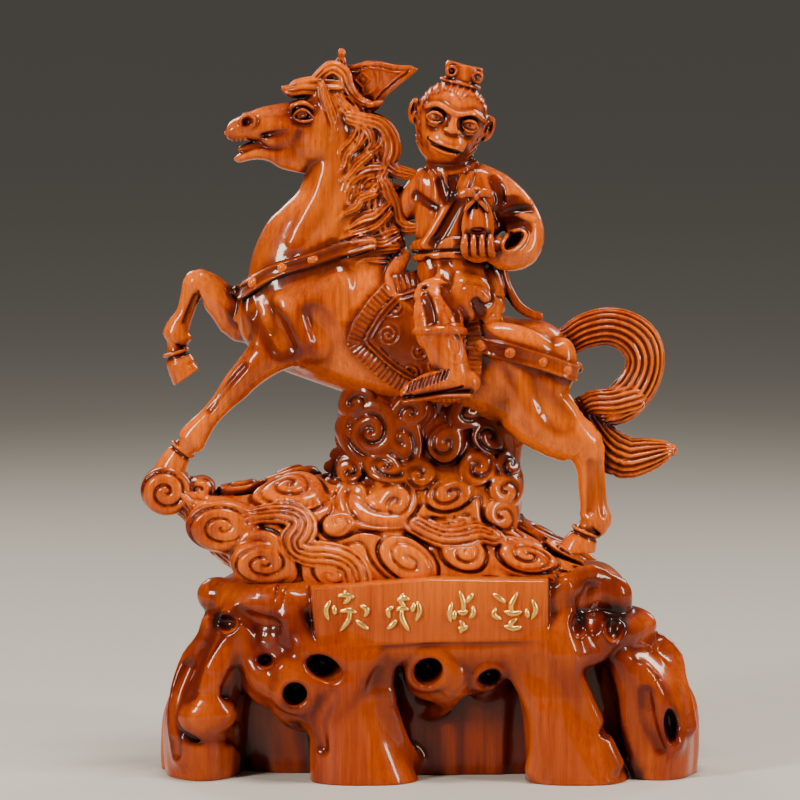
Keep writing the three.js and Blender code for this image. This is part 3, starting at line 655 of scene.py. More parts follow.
def scroll_map(across, up, scrolls):
    """Height of the carved scrolls over a flat map, each a rolled leaf that overlaps its neighbours."""
    across, up = np.broadcast_arrays(across, up)
    across, up = across + 1.3 * np.sin(up / 7.0), up + 1.3 * np.sin(across / 9.0 + 1)
    nearest = np.full(across.shape, 60, np.float32)
    leaves = np.full_like(nearest, -9)
    for number, (cx, cy, size, flat, start, hand) in enumerate(scrolls):
        u, v = across - cx, (up - cy) / flat
        r = np.hypot(u, v)
        r = r * (1 + 0.07 * np.sin(2 * np.arctan2(v, u) + number))
        turns = clamp(size / 7.6, 1.35, 2.6)
        winding = turns * (r / size) ** 0.85 - hand * (np.arctan2(v, u) + start) / (2 * math.pi)
        level = 1.3 * ((number * 0.618) % 1)
        rim = clamp((size - r) / 1.6, 0, 1) ** 0.5
        leaf = level + 2.2 * (1 - (r / size) ** 2) + 2.9 * band_height(winding)
        leaves = np.where(r < size, np.maximum(leaves, (leaf + 2.5) * rim - 2.5), leaves)
        nearest = soft_union(nearest, (r - size).astype(np.float32), 9)
    ground = -1.9 + 2.9 * band_height(-nearest / 5.4)
    return soften(np.maximum(ground, leaves), 1)

def band_height(winding):
    """Section of one carved band: it rises slowly from the groove inside it and falls off steeply outside."""
    part = winding - np.floor(winding)
    away = np.where(part < 0.62, (0.62 - part) / 0.62, (part - 0.62) / 0.38)
    return np.sqrt(clamp(1 - away ** 2.4, 0, 1))

def soften(chart, times):
    chart = np.asarray(chart, np.float32)
    for _ in range(times):
        chart[1:-1, 1:-1] = (
            4 * chart[1:-1, 1:-1] + chart[:-2, 1:-1] + chart[2:, 1:-1] + chart[1:-1, :-2]
            + chart[1:-1, 2:]
        ) / 8
    return chart

def wrap(x, px_up):
    """The map's height, the angle round the bank times its girth, of a point seen from the front."""
    yc, zc, a, b = bank_at(x)
    turns = np.radians(np.linspace(-80, 88, 400))
    seen = zc + a * np.sin(turns) + LOOK_DOWN * (yc - b * np.cos(turns))
    return float(turns[np.argmin(np.abs(seen - px_up))] * GIRTH)

# swirls seen from the front: [x, height as seen, size, flat, start, hand]
SEEN = [
  [-109.2, 136.8, 21, 1.9, 3.4, 1], [-85.0, 116.9, 19, 1.3, 2.6, 1], [-71.8, 156.2, 22, 0.9, 3.1, 1],
  [-44.8, 137.4, 9.5, 0.9, 1, -1], [-23.4, 147.9, 23, 0.95, 3.1, 1], [-49.8, 110.3, 9.5, 0.9, 0, 1],
  [-6.3, 117.5, 15.5, 1, 2.1, -1], [24.5, 120.8, 13, 1, 1, 1], [23.4, 140.1, 13.5, 0.9, 3.1, 1],
  [58.0, 119.7, 17, 0.9, 2, -1], [52.0, 140.7, 12, 1, 3.5, -1], [80.0, 120.8, 11, 1, 1, 1],
  [87.7, 104.2, 12, 0.9, 1, 1], [3.6, 134.6, 7, 1, 0, 1], [-66.3, 95.3, 13, 1, 1, -1],
  [-94.9, 98.7, 12, 1, 1, 1], [-38.8, 96.4, 10, 0.8, 1, -1], [8.5, 98.7, 12, 0.8, 2, 1],
  [42.6, 100.9, 11, 0.8, 1, -1], [-123.5, 146.8, 9, 1, 2, 1]
]
FRONT = [[x, wrap(x, up), size, flat, start, hand] for x, up, size, flat, start, hand in SEEN]
# the top and the back, plainer
BEHIND = [
  (-126, 1.6, 12, 1, -1), (-100, 1.55, 14, 2, 1), (-72, 1.75, 17, 0, -1), (66, 1.5, 16, 1, 1),
  (88, 1.9, 13, 2, -1), (-130, 3.1, 11, 2, 1), (-106, 2.6, 16, 0, 1), (-80, 2.2, 14, 2, 1),
  (-82, 3.0, 17, 1, -1), (-50, 2.55, 17, 3, 1), (-48, 3.25, 16, 0, 1), (-16, 2.8, 18, 1, -1),
  (20, 2.45, 17, 2, 1), (18, 3.2, 16, 4, -1), (50, 2.9, 17, 0, 1), (78, 2.6, 14, 1, -1),
  (58, 2.25, 13, 3, 1), (92, 3.0, 12, 1, 1), (-18, 3.7, 15, 1, 1), (44, 3.75, 15, 1, -1),
  (-72, 3.8, 15, 1, 1),
]
FRONT += [[x, angle * GIRTH, size, 0.9, start, hand] for x, angle, size, start, hand in BEHIND]
CELL = 0.5  # mm between the map's points
map_x, map_up = np.arange(-160, 114, CELL), np.arange(-1.3, 4.5, CELL / GIRTH) * GIRTH
chart = scroll_map(map_x[:, None], map_up[None, :], FRONT)
# the long winding bands between the swirls
BANDS = [
  [
    [-97.1, 140.1], [-89.4, 141.8], [-81.7, 142.9], [-74.0, 142.9], [-67.4, 141.2], [-64.1, 137.4],
    [-65.2, 132.4], [-68.5, 128.0], [-67.4, 123.5], [-60.8, 120.8], [-52.0, 120.2], [-43.2, 118.6],
    [-37.1, 114.1], [-34.4, 107.5]
  ],
  [[-1.4, 136.3], [6.3, 132.4], [14.0, 130.2], [22.8, 130.7], [31.6, 132.4], [38.2, 130.7]],
]
for line in BANDS:
    trail = along_spline([[x, wrap(x, up)] for x, up in line], 6)
    away, _ = line_distance(map_x[:, None], map_up[None, :], trail)
    band = 0.6 + 2.4 * (1 - (away / 8.4) ** 2) + 2.7 * band_height(0.38 - away / 4.2)
    chart = np.where(away < 8.4, band, chart).astype(np.float32)
chart = soften(chart, 1)

def read_map(chart, i, j):
    i, j = clamp(i, 0, chart.shape[0] - 1.001), clamp(j, 0, chart.shape[1] - 1.001)
    i0, j0 = i.astype(np.int32), j.astype(np.int32)
    fi, fj = i - i0, j - j0
    return ((1 - fi) * (1 - fj) * chart[i0, j0] + fi * (1 - fj) * chart[i0 + 1, j0]
            + (1 - fi) * fj * chart[i0, j0 + 1] + fi * fj * chart[i0 + 1, j0 + 1])

cuts, body = ridge_field(clouds, BANK, reach=8)
xs, ys, zs = (clouds.axes[k][cuts[k]] for k in range(3))
near = np.nonzero(np.abs(body) < 8)
yc, zc, a, b = bank_at(xs)
turn = np.arctan2((zs[near[2]] - zc[near[0]]) / a[near[0]], -(ys[near[1]] - yc[near[0]]) / b[near[0]])
turn = np.where(turn < -1.3, turn + 2 * math.pi, turn)
lift = np.zeros(body.shape, np.float32)
lift[near] = read_map(chart, (xs[near[0]] - map_x[0]) / CELL, (turn * GIRTH - map_up[0]) / CELL)
thin = clamp(np.minimum(a, b) / 18, 0.35, 1)[:, None, None]
clouds.add(cuts, body - lift * thin + 2.2, 0)
cuts, body = ridge_field(clouds, COLUMN, axis=2, reach=7)
xs, ys, zs = (clouds.axes[k][cuts[k]] for k in range(3))
POST = [
  [-37.4, 189.8, 10.5, 1, 1, 1], [-26.5, 188.1, 21, 0.9, 1, 1], [-9.0, 184.8, 13, 1.1, 0, -1],
  [15.0, 184.3, 11.5, 1, 3, -1], [30.3, 169.3, 11.5, 1, 0, 1], [15.6, 157.7, 13, 0.8, 2, -1],
  [39.1, 184.8, 11, 1, 2, 1], [-19.9, 170.4, 17, 0.55, 3, 1], [-40.2, 168.2, 9, 0.8, 4, 1],
  [-1.9, 168.2, 11, 0.8, 2, 1], [-5.7, 200.3, 12, 1, 2, 1], [27.0, 200.3, 13, 1, 1, 1],
  [46.2, 157.2, 11, 1, 1, -1], [45.6, 143.3, 11, 1, 1, -1], [-39.6, 151.6, 12, 1, 1, -1],
  [-13.4, 151.6, 13, 1, 1, 1], [48.9, 171.0, 9, 1, 1, 1], [-37.4, 204.2, 12, 1, 1, -1]
]
post_x, post_z = np.arange(-62, 64, CELL), np.arange(120, 216, CELL)
post = scroll_map(post_x[:, None], post_z[None, :], POST)
near = np.nonzero(np.abs(body) < 8)
mirror = np.where(ys[near[1]] > 0, -1, 1)
lift = np.zeros(body.shape, np.float32)
lift[near] = read_map(post, (xs[near[0]] * mirror - post_x[0]) / CELL, (zs[near[2]] - post_z[0]) / CELL)
clouds.add(cuts, body - lift + 2.2, 2)

# the curl that carries the near forefoot, and the lobe behind it: rolled discs carved on both faces
def rolled_disc(block, place, size, thick, pitch, start, flat=1.0, blend=1.5):
    cuts, x, y, z = block.window(
        np.array(place) - max(size, thick) - 7, np.array(place) + max(size, thick) + 7
    )
    u, v = x - place[0], (z - place[2]) / flat
    r = np.hypot(u, v)
    winding = r / pitch - (np.arctan2(v, u) + start) / (2 * math.pi)
    half = thick + 2.8 * band_height(winding) + 3.4 * (1 - clamp(r / size, 0, 1) ** 2)
    face = np.abs(y - place[1]) - half
    block.add(cuts, soft_cut(r - size + 0 * y, -face, 4.0).astype(np.float32), blend)

rolled_disc(clouds, (-139.2, -13, 156.6), 14.2, 7.5, 7.2, 2.0, 0.96)
rolled_disc(clouds, (-120.5, -10, 157.0), 8.0, 6, 5.6, 0.5, 0.9)
rolled_disc(clouds, (-108.0, -9, 138.6), 20.5, 22, 8.6, 3.6, 0.70, 3.5)
rolled_disc(clouds, (-85.5, -4, 119.5), 18.5, 33, 7.8, 2.6, 0.66, 3.5)

def column_painted_shadow(at):
    """Painted shadow of the horse on the column under its belly and on the bank top within its width, darker
    from z 150 upward.
    """
    return 0.24 * clamp((at[:, 2] - 150) / 22, 0, 1) * clamp((64 - np.abs(at[:, 0])) / 10, 0, 1)

settle(finish_mesh(clouds, "cloud_bank", column_painted_shadow))


# The galloping horse: body, legs, hooves, mane and tail are one with the block, polished smooth, with
# combed grooves in the hair. The harness, saddle cloth and flag are carved standing on it.
horse = Block((-150, -33, 112), (145, 33, 402), 0.56 * COARSE)
TRUNK = [
  [-101, 0, 250, 2, 2], [-97, 0, 250, 12, 10], [-89, 0, 250, 22, 17], [-75, 0, 251, 30, 22],
  [-50, 0, 247, 35, 25], [-14, 0, 240, 40, 26], [16, 0, 229, 33, 26], [46, 0, 222, 29, 26],
  [66, 0, 224, 25, 24], [78, 0, 224, 18, 18], [83, 0, 224, 11, 11], [86, 0, 224, 2, 2],
]
NECK = [
  [-54, 0, 252, 40, 22], [-54, 0, 268, 40.5, 21.5], [-54, 0, 284, 38.5, 20.5], [-54, 0, 302, 30.5, 17.5],
  [-51, -1, 312, 24, 16], [-47, -1, 322, 19, 14.5], [-46, -2, 338, 16.5, 12.5], [-50, -3, 356, 14, 11],
  [-52, -3, 366, 10, 9],
]
SKULL = [
  [-40, -2, 362, 6, 6], [-46, -2, 361, 12.5, 9.5], [-56, -3, 355, 17, 11.2], [-66, -3, 353, 17.5, 10.6],
  [-77, -4, 355, 13, 9.4], [-87, -5, 356.2, 9.8, 8.2], [-95, -6, 355.4, 7.4, 8.0],
  [-100.5, -6.3, 354.2, 6.3, 7.4], [-103.8, -6.6, 353.2, 5.2, 6.4], [-105.6, -6.8, 352.4, 3.4, 4.6],
  [-106.4, -7, 352, 1.0, 1.6],
]
CHIN = [
  [-66, -4, 341, 11, 8], [-76, -5, 339.4, 7.0, 6.8], [-83, -5.5, 341.0, 4.6, 6.4],
  [-89, -5.8, 341.2, 3.7, 6.2], [-94, -6, 340.0, 3.1, 6.0], [-98.4, -6, 338.6, 2.7, 5.2],
  [-100.6, -6, 338.0, 1.8, 3.4], [-101.4, -6, 337.8, 0.8, 1.4]
]
ridge(horse, TRUNK, blend=3)
ridge(horse, NECK, blend=9, axis=2)
ridge(horse, SKULL, blend=5)
ridge(horse, CHIN, blend=2.5)
# legs
NEAR_FORE = [
  [-60, -13, 243, 21, 11], [-74, -17, 239, 16.5, 11],
  [-85.3, -18, 229.9, 11.2, 9.5], [-95.1, -18, 220.5, 8.8, 8.5], [-101.4, -18, 213.4, 8, 7.6],
  [-108.2, -18, 205.6, 6.2, 6.2], [-115.6, -18, 197.3, 5.7, 5.8], [-121.1, -18, 190.7, 7.0, 6.6],
  [-125.5, -18, 184.6, 7.8, 7.2], [-127.7, -18, 180.7, 5.6, 5.6]
]
FAR_FORE = [
  [-66, 10, 248, 17, 11], [-84, 13, 249, 14.5, 10],
  [-98.1, 14, 248.7, 13.4, 9.6], [-108.0, 14, 257.0, 10.4, 9], [-117.4, 14, 265.3, 9, 7.8],
  [-123.5, 14, 268.1, 7.4, 7.2], [-126.8, 14, 260.9, 5.6, 5.6], [-129.9, 14, 251.5, 4.9, 5.2],
  [-134.0, 14, 243.2, 6.8, 6.4], [-134.8, 14, 237.6, 7.9, 7], [-135.7, 14, 233.8, 4.2, 4.8]
]
NEAR_HIND = [
  [58, -11, 221, 24, 14], [63, -15, 203, 21, 13], [77, -16, 189, 16, 11], [89, -15, 181, 11.8, 9],
  [92.8, -14, 169.8, 8.0, 7.2], [93.9, -14, 158.2, 7.6, 6.8], [95.0, -14, 147.1, 7.6, 7],
  [95.5, -14, 139.9, 9.3, 7.8], [92.8, -14, 135.0, 6, 6]
]
FAR_HIND = [
  [55, 11, 211, 22, 13], [44, 16, 191, 16, 11], [47, 17, 177, 10, 8.5], [48, 17, 166, 7.4, 7],
  [49, 17, 157, 8.5, 7.5], [45, 17, 149, 8, 8], [42, 17, 142, 9.5, 9]
]
for leg in (NEAR_FORE, FAR_FORE, NEAR_HIND, FAR_HIND):
    limb(horse, leg, blend=5)
# stations, a point of the sole, the way the sole faces
HOOVES = [
  [
    [
      [-127, -15, 182, 5.6, 5.8], [-131.5, -14, 177.5, 6.6, 6.8], [-135.5, -13.5, 171, 8, 8],
      [-139, -13, 163, 9.4, 9]
    ],
    (-138, 166.4), (0, -1)
  ],
  [
    [
      [-135.3, 14, 233, 4.2, 4.8], [-134.3, 14, 228, 6.6, 6.4], [-131.5, 14, 221, 8.0, 8],
      [-127, 14, 212, 8.8, 9]
    ],
    (-123.5, 220.1), (0.573, -0.82)
  ],
  [
    [
      [92, -14, 137.5, 5.0, 5], [90, -14, 132, 7.4, 7.4], [86.6, -14, 124, 10.2, 9.4],
      [84.5, -14, 116, 11, 10]
    ],
    (74.7, 122.6), (0.0, -1.0)
  ],
]
for stations, (px, pz), (nx, nz) in HOOVES:
    limb(horse, stations, blend=0.4)
    sx, sy, sz = stations[-1][:3]
    cuts, x, y, z = horse.window((sx - 14, sy - 13, sz - 13), (sx + 14, sy + 13, sz + 13))
    sole = ((x - px) * nx + (z - pz) * nz + 0 * y).astype(np.float32)
    horse.depth[cuts] = np.maximum(horse.depth[cuts], sole)
    ax, ay, az, ah, aw = stations[1]
    run = np.array(stations[2][:3]) - np.array(stations[0][:3])
    run = run / np.linalg.norm(run)
    side = np.array((run[2], 0, -run[0]))
    for rise, size, how in ((0.0, 0.7, carve), (-2.0, 1.1, limb)):
        ring_rows = []
        for a in np.linspace(0, 2 * math.pi, 17):
            spot = np.array((ax, ay, az)) + run * rise + side * math.cos(a) * (ah + 0.1)
            spot = spot + np.array((0, 1, 0)) * math.sin(a) * (aw + 0.1)
            ring_rows.append([*spot, size, size])
        how(horse, ring_rows, blend=0.6)
MUSCLES = [
  [(-68, -20, 256), (20, 7, 11), -35], [(-81, -17, 247), (11, 8, 9), 30],
  [(-62, -22, 240), (14, 6, 9), 35], [(-92, -9, 256), (6.5, 8, 10), 0],
  [(-50, -21, 262), (10, 6, 18), 30], [(48, -20, 236), (26, 9, 13), 12],
  [(62, -19, 214), (16, 8, 16), -20], [(76, -16, 226), (9, 9, 15), 10], [(84, -16, 186), (11, 7, 7), 35],
]
for place, half, tilt in MUSCLES:
    for side in (1, -1):
        x, y, z = place
        if side == -1 and z < 200:
            continue
        egg(horse, (x, y * side, z), half, blend=4, tilt=tilt)
GROOVES = [
  [[-92, -19, 262, 2, 3], [-82, -22, 250, 2.5, 4], [-74, -25, 236, 2, 3]],
  [[-60, -27, 252, 2, 3], [-52, -29, 240, 2.5, 3.5], [-48, -28, 225, 2, 3]],
  [[30, -29, 240, 2, 3], [36, -30, 224, 2.5, 4], [44, -28, 208, 2, 3]],
  [[52, -29, 222, 1.6, 3], [66, -28, 206, 2, 3.5], [78, -26, 196, 1.5, 2]],
]
for groove in GROOVES:
    for side in (1, -1):
        carve(horse, [[x, (y - 1.6) * side, z, a * 2, b] for x, y, z, a, b in groove], blend=9)
# long muscles of the neck and shoulder, tendons of the legs
for side in (-1, 1):
    for line in (
        [
          [-51.1, 332.8, 2, 1.2], [-56.0, 317.3, 3.4, 2.4], [-63.1, 302.9, 3.6, 2.6],
          [-69.7, 291.9, 2, 1.2]
        ],
        [[-41.3, 326.8, 2, 1.2], [-48.4, 303.6, 3.6, 2.6], [-55.5, 291.4, 3.2, 2], [-64.8, 285.4, 2, 1]],
        [[-77.8, 262.4, 2.4, 1.4], [-68.0, 252.5, 4, 2.4], [-63.6, 239.2, 3.4, 2]],
        [[-86.5, 262.4, 2.2, 1.4], [-83.3, 250.3, 3.4, 2.2], [-88.7, 237.0, 2.4, 1.4]],
        [[43.4, 235.0, 2, 1.2], [54.3, 222.8, 4, 2.4], [57.6, 206.2, 4, 2.4], [65.2, 190.8, 2, 1]]
    ):
        strand(horse, line, blend=4, sink=1.6, side=side)
for line in (
    [[92.9, 172.6, 1, 1], [93.4, 157.2, 1.3, 1.6], [92.1, 145.0, 1, 1]],
    [[98.3, 172.6, 1, 1], [99.7, 157.2, 1.2, 1.4], [100.8, 143.9, 1, 1]],
    [[-96.3, 226.2, 1, 1], [-106.7, 214.0, 1.3, 1.6], [-115.9, 201.8, 1, 1]]
):
    strand(horse, line, blend=3, sink=-0.9, how=carve)
strand(
    horse, [[-123.9, 261.3, 1, 1], [-127.2, 253.6, 1.2, 1.4], [-130.0, 246.9, 1, 1]], blend=1.6,
    sink=-0.3, how=carve
)
# head
def paired(middle, side, rows):
    """Rows of [x, how far out of the middle, z, half height, half width] on one side of the head."""
    return [[x, middle + away * side, z, a, b] for x, away, z, a, b in rows]

for side in (-1, 1):
    middle = -3  # the head is turned a little to the front
    egg(horse, (-58, middle + 6.5 * side, 345.5), (8.4, 6, 8), blend=2.5)
    egg(horse, (-80.6, middle + 6.0 * side, 348), (6.4, 4, 4), blend=2, tilt=8)
    limb(horse, paired(middle, side, [
        [-71, 8.2, 365, 1.1, 1.5], [-69, 9.4, 367.2, 1.5, 1.9], [-64, 10.6, 368.6, 1.7, 2.0],
        [-59, 10.2, 366.0, 1.3, 1.6]
    ]), blend=2.0)
    scoop(horse, (-65, middle + 13.5 * side, 362.6), (6, 4, 4), blend=1.6)
    egg(horse, (-64.4, middle + 9.6 * side, 362.4), (3.3, 3, 3.0), blend=0.2)
    limb(horse, paired(middle, side, [
        [-70, 9.8, 361.4, 0.7, 0.9], [-66, 12.2, 365.0, 0.9, 1.1], [-62, 12.2, 364.6, 0.9, 1.1],
        [-58.6, 10.6, 360.6, 0.7, 0.9]
    ]), blend=0.5)
    limb(horse, paired(middle, side, [
        [-70, 9.8, 361.0, 0.7, 0.9], [-65.4, 12.2, 359.0, 0.9, 1.1], [-61, 12.0, 359.0, 0.9, 1.1],
        [-58.6, 10.6, 360.4, 0.7, 0.9]
    ]), blend=0.5)
    scoop(horse, (-64.8, middle + 12.6 * side, 362.4), (0.9, 0.9, 0.9), blend=0.2)
    limb(horse, paired(middle, side, [
        [-72, 8, 357, 1.4, 1.8], [-80, 7.6, 356, 2.0, 2.0], [-88, 6, 354, 1.4, 1.6]
    ]), blend=2.0)
    carve(horse, paired(middle, side, [
        [-73, 11.8, 352.6, 1.0, 1.2], [-79, 10.3, 352.0, 1.2, 1.5], [-86, 8.2, 351, 0.8, 1.1]
    ]), blend=2)
    carve(horse, paired(middle, side, [
        [-66.5, 11, 353, 1, 1.4], [-69, 10.8, 345, 1.4, 2], [-67, 10, 337, 1, 1.6]
    ]), blend=2)
    egg(horse, (-94, -6 + 5.5 * side, 358.6), (5.5, 3.5, 4.3), blend=1.6)
    scoop(horse, (-94.8, -6 + 8.8 * side, 358.4), (3.0, 3.2, 2.0), blend=0.5, tilt=-25)
    limb(horse, paired(-6, side, [
        [-98.5, 7.2, 356.6, 0.9, 1], [-97.6, 8.2, 360.6, 1.0, 1.2], [-93.6, 8.6, 362.2, 1.1, 1.3],
        [-90.4, 8.4, 359.8, 1.0, 1.2], [-91.2, 7.8, 356.2, 0.8, 1]
    ]), blend=0.6)
    carve(horse, paired(-6, side, [
        [-91.6, 8.6, 353.6, 0.8, 1.2], [-88.6, 8.4, 356, 0.9, 1.4], [-87.4, 8, 360, 0.7, 1]
    ]), blend=1)
    limb(horse, paired(middle, side, [
        [-53, 6, 368, 3.6, 3], [-54, 7, 373.6, 3.2, 2.4], [-53.4, 7.5, 380.6, 0.9, 0.9]
    ]), blend=1.0, across=(1, 0, 0))
    carve(horse, paired(middle, side, [
        [-53.6, 10.2, 370, 1.2, 1.4], [-54, 9.6, 374, 1.1, 1.4], [-53.6, 8.8, 378, 0.5, 0.8]
    ]), blend=0.5, across=(1, 0, 0))
carve(horse, [
    [-112, -6, 344.6, 3.5, 12], [-99, -6, 345.0, 3.1, 12], [-94, -5.6, 345.4, 2.2, 12],
    [-88.5, -5, 346.2, 0.9, 12]
], blend=0.8)
limb(
    horse, [[-82, -6, 345.5, 4, 3.4], [-92, -6, 344.2, 3.4, 3.0], [-97.5, -6, 343.0, 2.2, 2.6]], blend=0.6
)
for i in range(4):
    egg(horse, (-102.6 + 2.3 * i, -10.6, 348.9), (1.1, 1.0, 1.3), blend=0.3)
    egg(horse, (-102.6 + 2.3 * i, -1.6, 348.9), (1.1, 1.0, 1.3), blend=0.3)
# tail
TAIL_ARCH = [
  [74.5, 0, 234.7, 8, 8], [82.2, 0, 238.0, 8.4, 8], [90.2, 0, 242.7, 9.8, 8.4],
  [102.0, 0, 245.5, 10.6, 9], [112.8, 0, 243.0, 11.2, 9.2], [120.7, 0, 236.1, 11.6, 9.2],
  [123.5, 0, 225.8, 10.8, 9.2], [119.6, 0, 213.7, 11.0, 9.2], [110.8, 0, 203.7, 11.2, 9.2],
  [102.0, 0, 199.3, 9.6, 9]
]
TAIL_FOLD = [
  [116.2, -3, 206.3, 9, 8], [105.2, -3, 203.5, 8.5, 9], [94.2, -3, 202.9, 7.5, 8], [87.6, -3, 198.5, 5, 6]
]
TAIL_FLICK = [
  [88.8, 0, 202.6, 5, 7], [93.2, 0, 192.7, 8, 8], [100.4, 0, 180.5, 11.6, 9], [111.9, 0, 172.8, 11.8, 9],
  [124.6, 0, 174.4, 9.8, 8], [133.9, 0, 176.6, 6.4, 6.5], [138.3, 0, 177.2, 3.5, 4]
]
limb(horse, TAIL_ARCH, blend=1.5, grooves=(17, 2.1, 0.014))
limb(horse, TAIL_FOLD, blend=0.8, grooves=(15, 1.8, 0.02))
limb(horse, TAIL_FLICK, blend=0.8, grooves=(17, 2.1, -0.02))
# mane
MANE_CREST = [
  [-52, 0, 372, 5, 7], [-42, 0, 368, 8, 9], [-34, 0, 355, 10, 10], [-29, 0, 342, 11, 10],
  [-27, 0, 326, 12, 10.5], [-25, 0, 304, 12, 12], [-18, 0, 290, 10, 12],
]
limb(horse, MANE_CREST, blend=2, grooves=(20, 1.8, 0.03))

def lock(line, half, deep, side=-1, count=10, fall=None):
    """A lock of hair along [x, z] points that lies on the neck, thick at its root and pointed at its tip."""
    rows = []
    for i, (x, z) in enumerate(line):
        y = face_at(horse, x, z, side)
        if y * side < 1.0 or (fall is not None and y * side < fall):
            y = side * (fall or 6.0)
        part = i / (len(line) - 1)
        taper = (0.75 + 0.5 * part if part < 0.5 else 1.0) * (1 - 0.72 * max(0, part - 0.45) / 0.55)
        rows.append([x, y - side * 0.5 * deep * taper, z, 1.18 * half * taper, 1.1 * deep * taper + 0.4])
    for i in range(1, len(rows) - 1):
        rows[i][1] = 0.25 * rows[i - 1][1] + 0.5 * rows[i][1] + 0.25 * rows[i + 1][1]
    limb(horse, rows, blend=0.7, steps=4, grooves=(count, 1.5, 0.02))

# half width, depth, points from root to tip
LOCKS = [
  [
    4.6, 4.0,
    [
      [-59.4, 376.4], [-54.5, 381.9], [-48.5, 386.6], [-43.0, 383.6], [-40.8, 377.5], [-36.0, 371.1],
      [-28.4, 367.2], [-21.6, 368.7]
    ]
  ],
  [
    4.2, 3.8,
    [
      [-49.0, 375.9], [-48.5, 367.2], [-40.8, 360.9], [-36.0, 354.8], [-38.3, 348.8], [-43.7, 342.4],
      [-44.6, 336.2]
    ]
  ],
  [4.0, 3.6, [[-40.8, 365.9], [-34.5, 359.5], [-32.2, 351.8], [-36.0, 344.0], [-42.2, 339.4]]],
  [4.2, 3.6, [[-33.1, 359.5], [-23.8, 354.8], [-22.2, 347.1], [-28.4, 340.9], [-36.8, 334.7]]],
  [4.0, 3.6, [[-23.8, 329.4], [-30.7, 326.9], [-33.7, 320.7], [-33.1, 314.5]]],
  [
    4.2, 3.6,
    [[-22.9, 333.4], [-29.8, 332.4], [-37.0, 328.6], [-40.8, 323.2], [-41.3, 316.2], [-38.3, 310.7]]
  ],
  [4.4, 3.8, [[-21.6, 325.7], [-26.0, 320.9], [-29.1, 314.7], [-32.0, 309.2]]],
  [
    5.0, 4.2, [[-21.1, 324.6], [-16.1, 313.9], [-14.5, 304.7], [-9.9, 300.0], [-2.2, 300.0], [1.6, 303.9]]
  ],
  [4.6, 4.0, [[-19.1, 312.5], [-25.3, 306.9], [-32.2, 304.7], [-37.6, 300.9], [-42.2, 299.2]]],
  [4.4, 4.0, [[-15.0, 298.2], [-25.4, 294.6], [-33.1, 294.6], [-39.1, 291.6], [-43.5, 286.0]]],
  [4.6, 4.0, [[-14.5, 289.9], [-24.7, 289.4], [-33.9, 286.4], [-43.1, 283.3]]],
  [4.4, 4.0, [[-13.4, 282.7], [-22.2, 282.7], [-29.8, 283.3], [-36.4, 281.6]]],
  [3.6, 3.4, [[-54.0, 377.5], [-51.8, 369.8], [-49.0, 362.0], [-47.4, 354.3], [-49.6, 347.7]]],
  [
    3.8, 3.6,
    [
      [-45.2, 372.0], [-41.9, 365.4], [-37.5, 360.4], [-29.9, 354.3], [-27.1, 347.1], [-32.0, 341.0],
      [-38.6, 337.2]
    ]
  ],
  [3.6, 3.4, [[-37.5, 344.3], [-40.8, 339.9], [-41.9, 334.4], [-45.7, 329.4]]],
  [3.6, 3.4, [[-28.8, 339.9], [-34.8, 334.9], [-38.6, 330.0], [-44.1, 325.5]]],
  [3.8, 3.6, [[-26.6, 319.0], [-33.1, 316.8], [-36.4, 312.4], [-41.9, 309.1], [-46.3, 304.1]]],
  [3.8, 3.6, [[-17.8, 308.1], [-23.3, 302.5], [-29.8, 299.2], [-37.5, 297.0], [-45.2, 293.1]]],
  [3.8, 3.6, [[-13.4, 294.9], [-20.0, 291.6], [-27.6, 291.6], [-35.3, 289.4], [-41.9, 287.1]]],
  [3.8, 3.6, [[-20.0, 344.6], [-18.9, 335.7], [-22.2, 328.0], [-20.0, 319.1], [-15.6, 312.5]]],
]
FOREMOST = [
  5.2, 4.4,
  [
    [-38.7, 360.5], [-32.3, 358.7], [-23.0, 356.1], [-17.6, 349.0], [-16.5, 342.0], [-18.4, 335.8],
    [-13.8, 331.2], [-6.1, 329.5], [1.6, 328.1], [8.5, 329.2]
  ]
]
for half, deep, line in LOCKS:
    lock(line, half, deep)
    lock(line, half, deep, side=1)
lock(FOREMOST[2], FOREMOST[0], FOREMOST[1], fall=5)
lock(FOREMOST[2][:8], FOREMOST[0], FOREMOST[1], side=1, fall=5)
egg(horse, (-52, -3, 372), (10, 7, 6), blend=2)
FORELOCK = [
  [-46.4, -4, 376.7, 6, 6], [-55.2, -4, 376.7, 6.4, 6.4], [-64.0, -4, 376.7, 5.6, 6],
  [-70.0, -4, 375.3, 4.6, 5], [-75.2, -4, 376.1, 1.8, 2.6]
]
limb(horse, FORELOCK, blend=0.8, grooves=(8, 1.4, 0.02))

# harness
def strap(block, line, half, lift, source, rim=1.1):
    """A band in the XZ plane raised off a body of given distance, with a narrow rim along each edge."""
    cuts, body = source
    x, z = block.axes[0][cuts[0]][:, None], block.axes[2][cuts[2]][None, :]
    away, _ = line_distance(x, z, line)
    away = away.astype(np.float32)[:, None, :]
    raised = lift + 0.7 * np.exp(-((away - half + rim) / 0.7) ** 2)
    block.add(cuts, np.maximum(body - raised, away - half), 0.4)

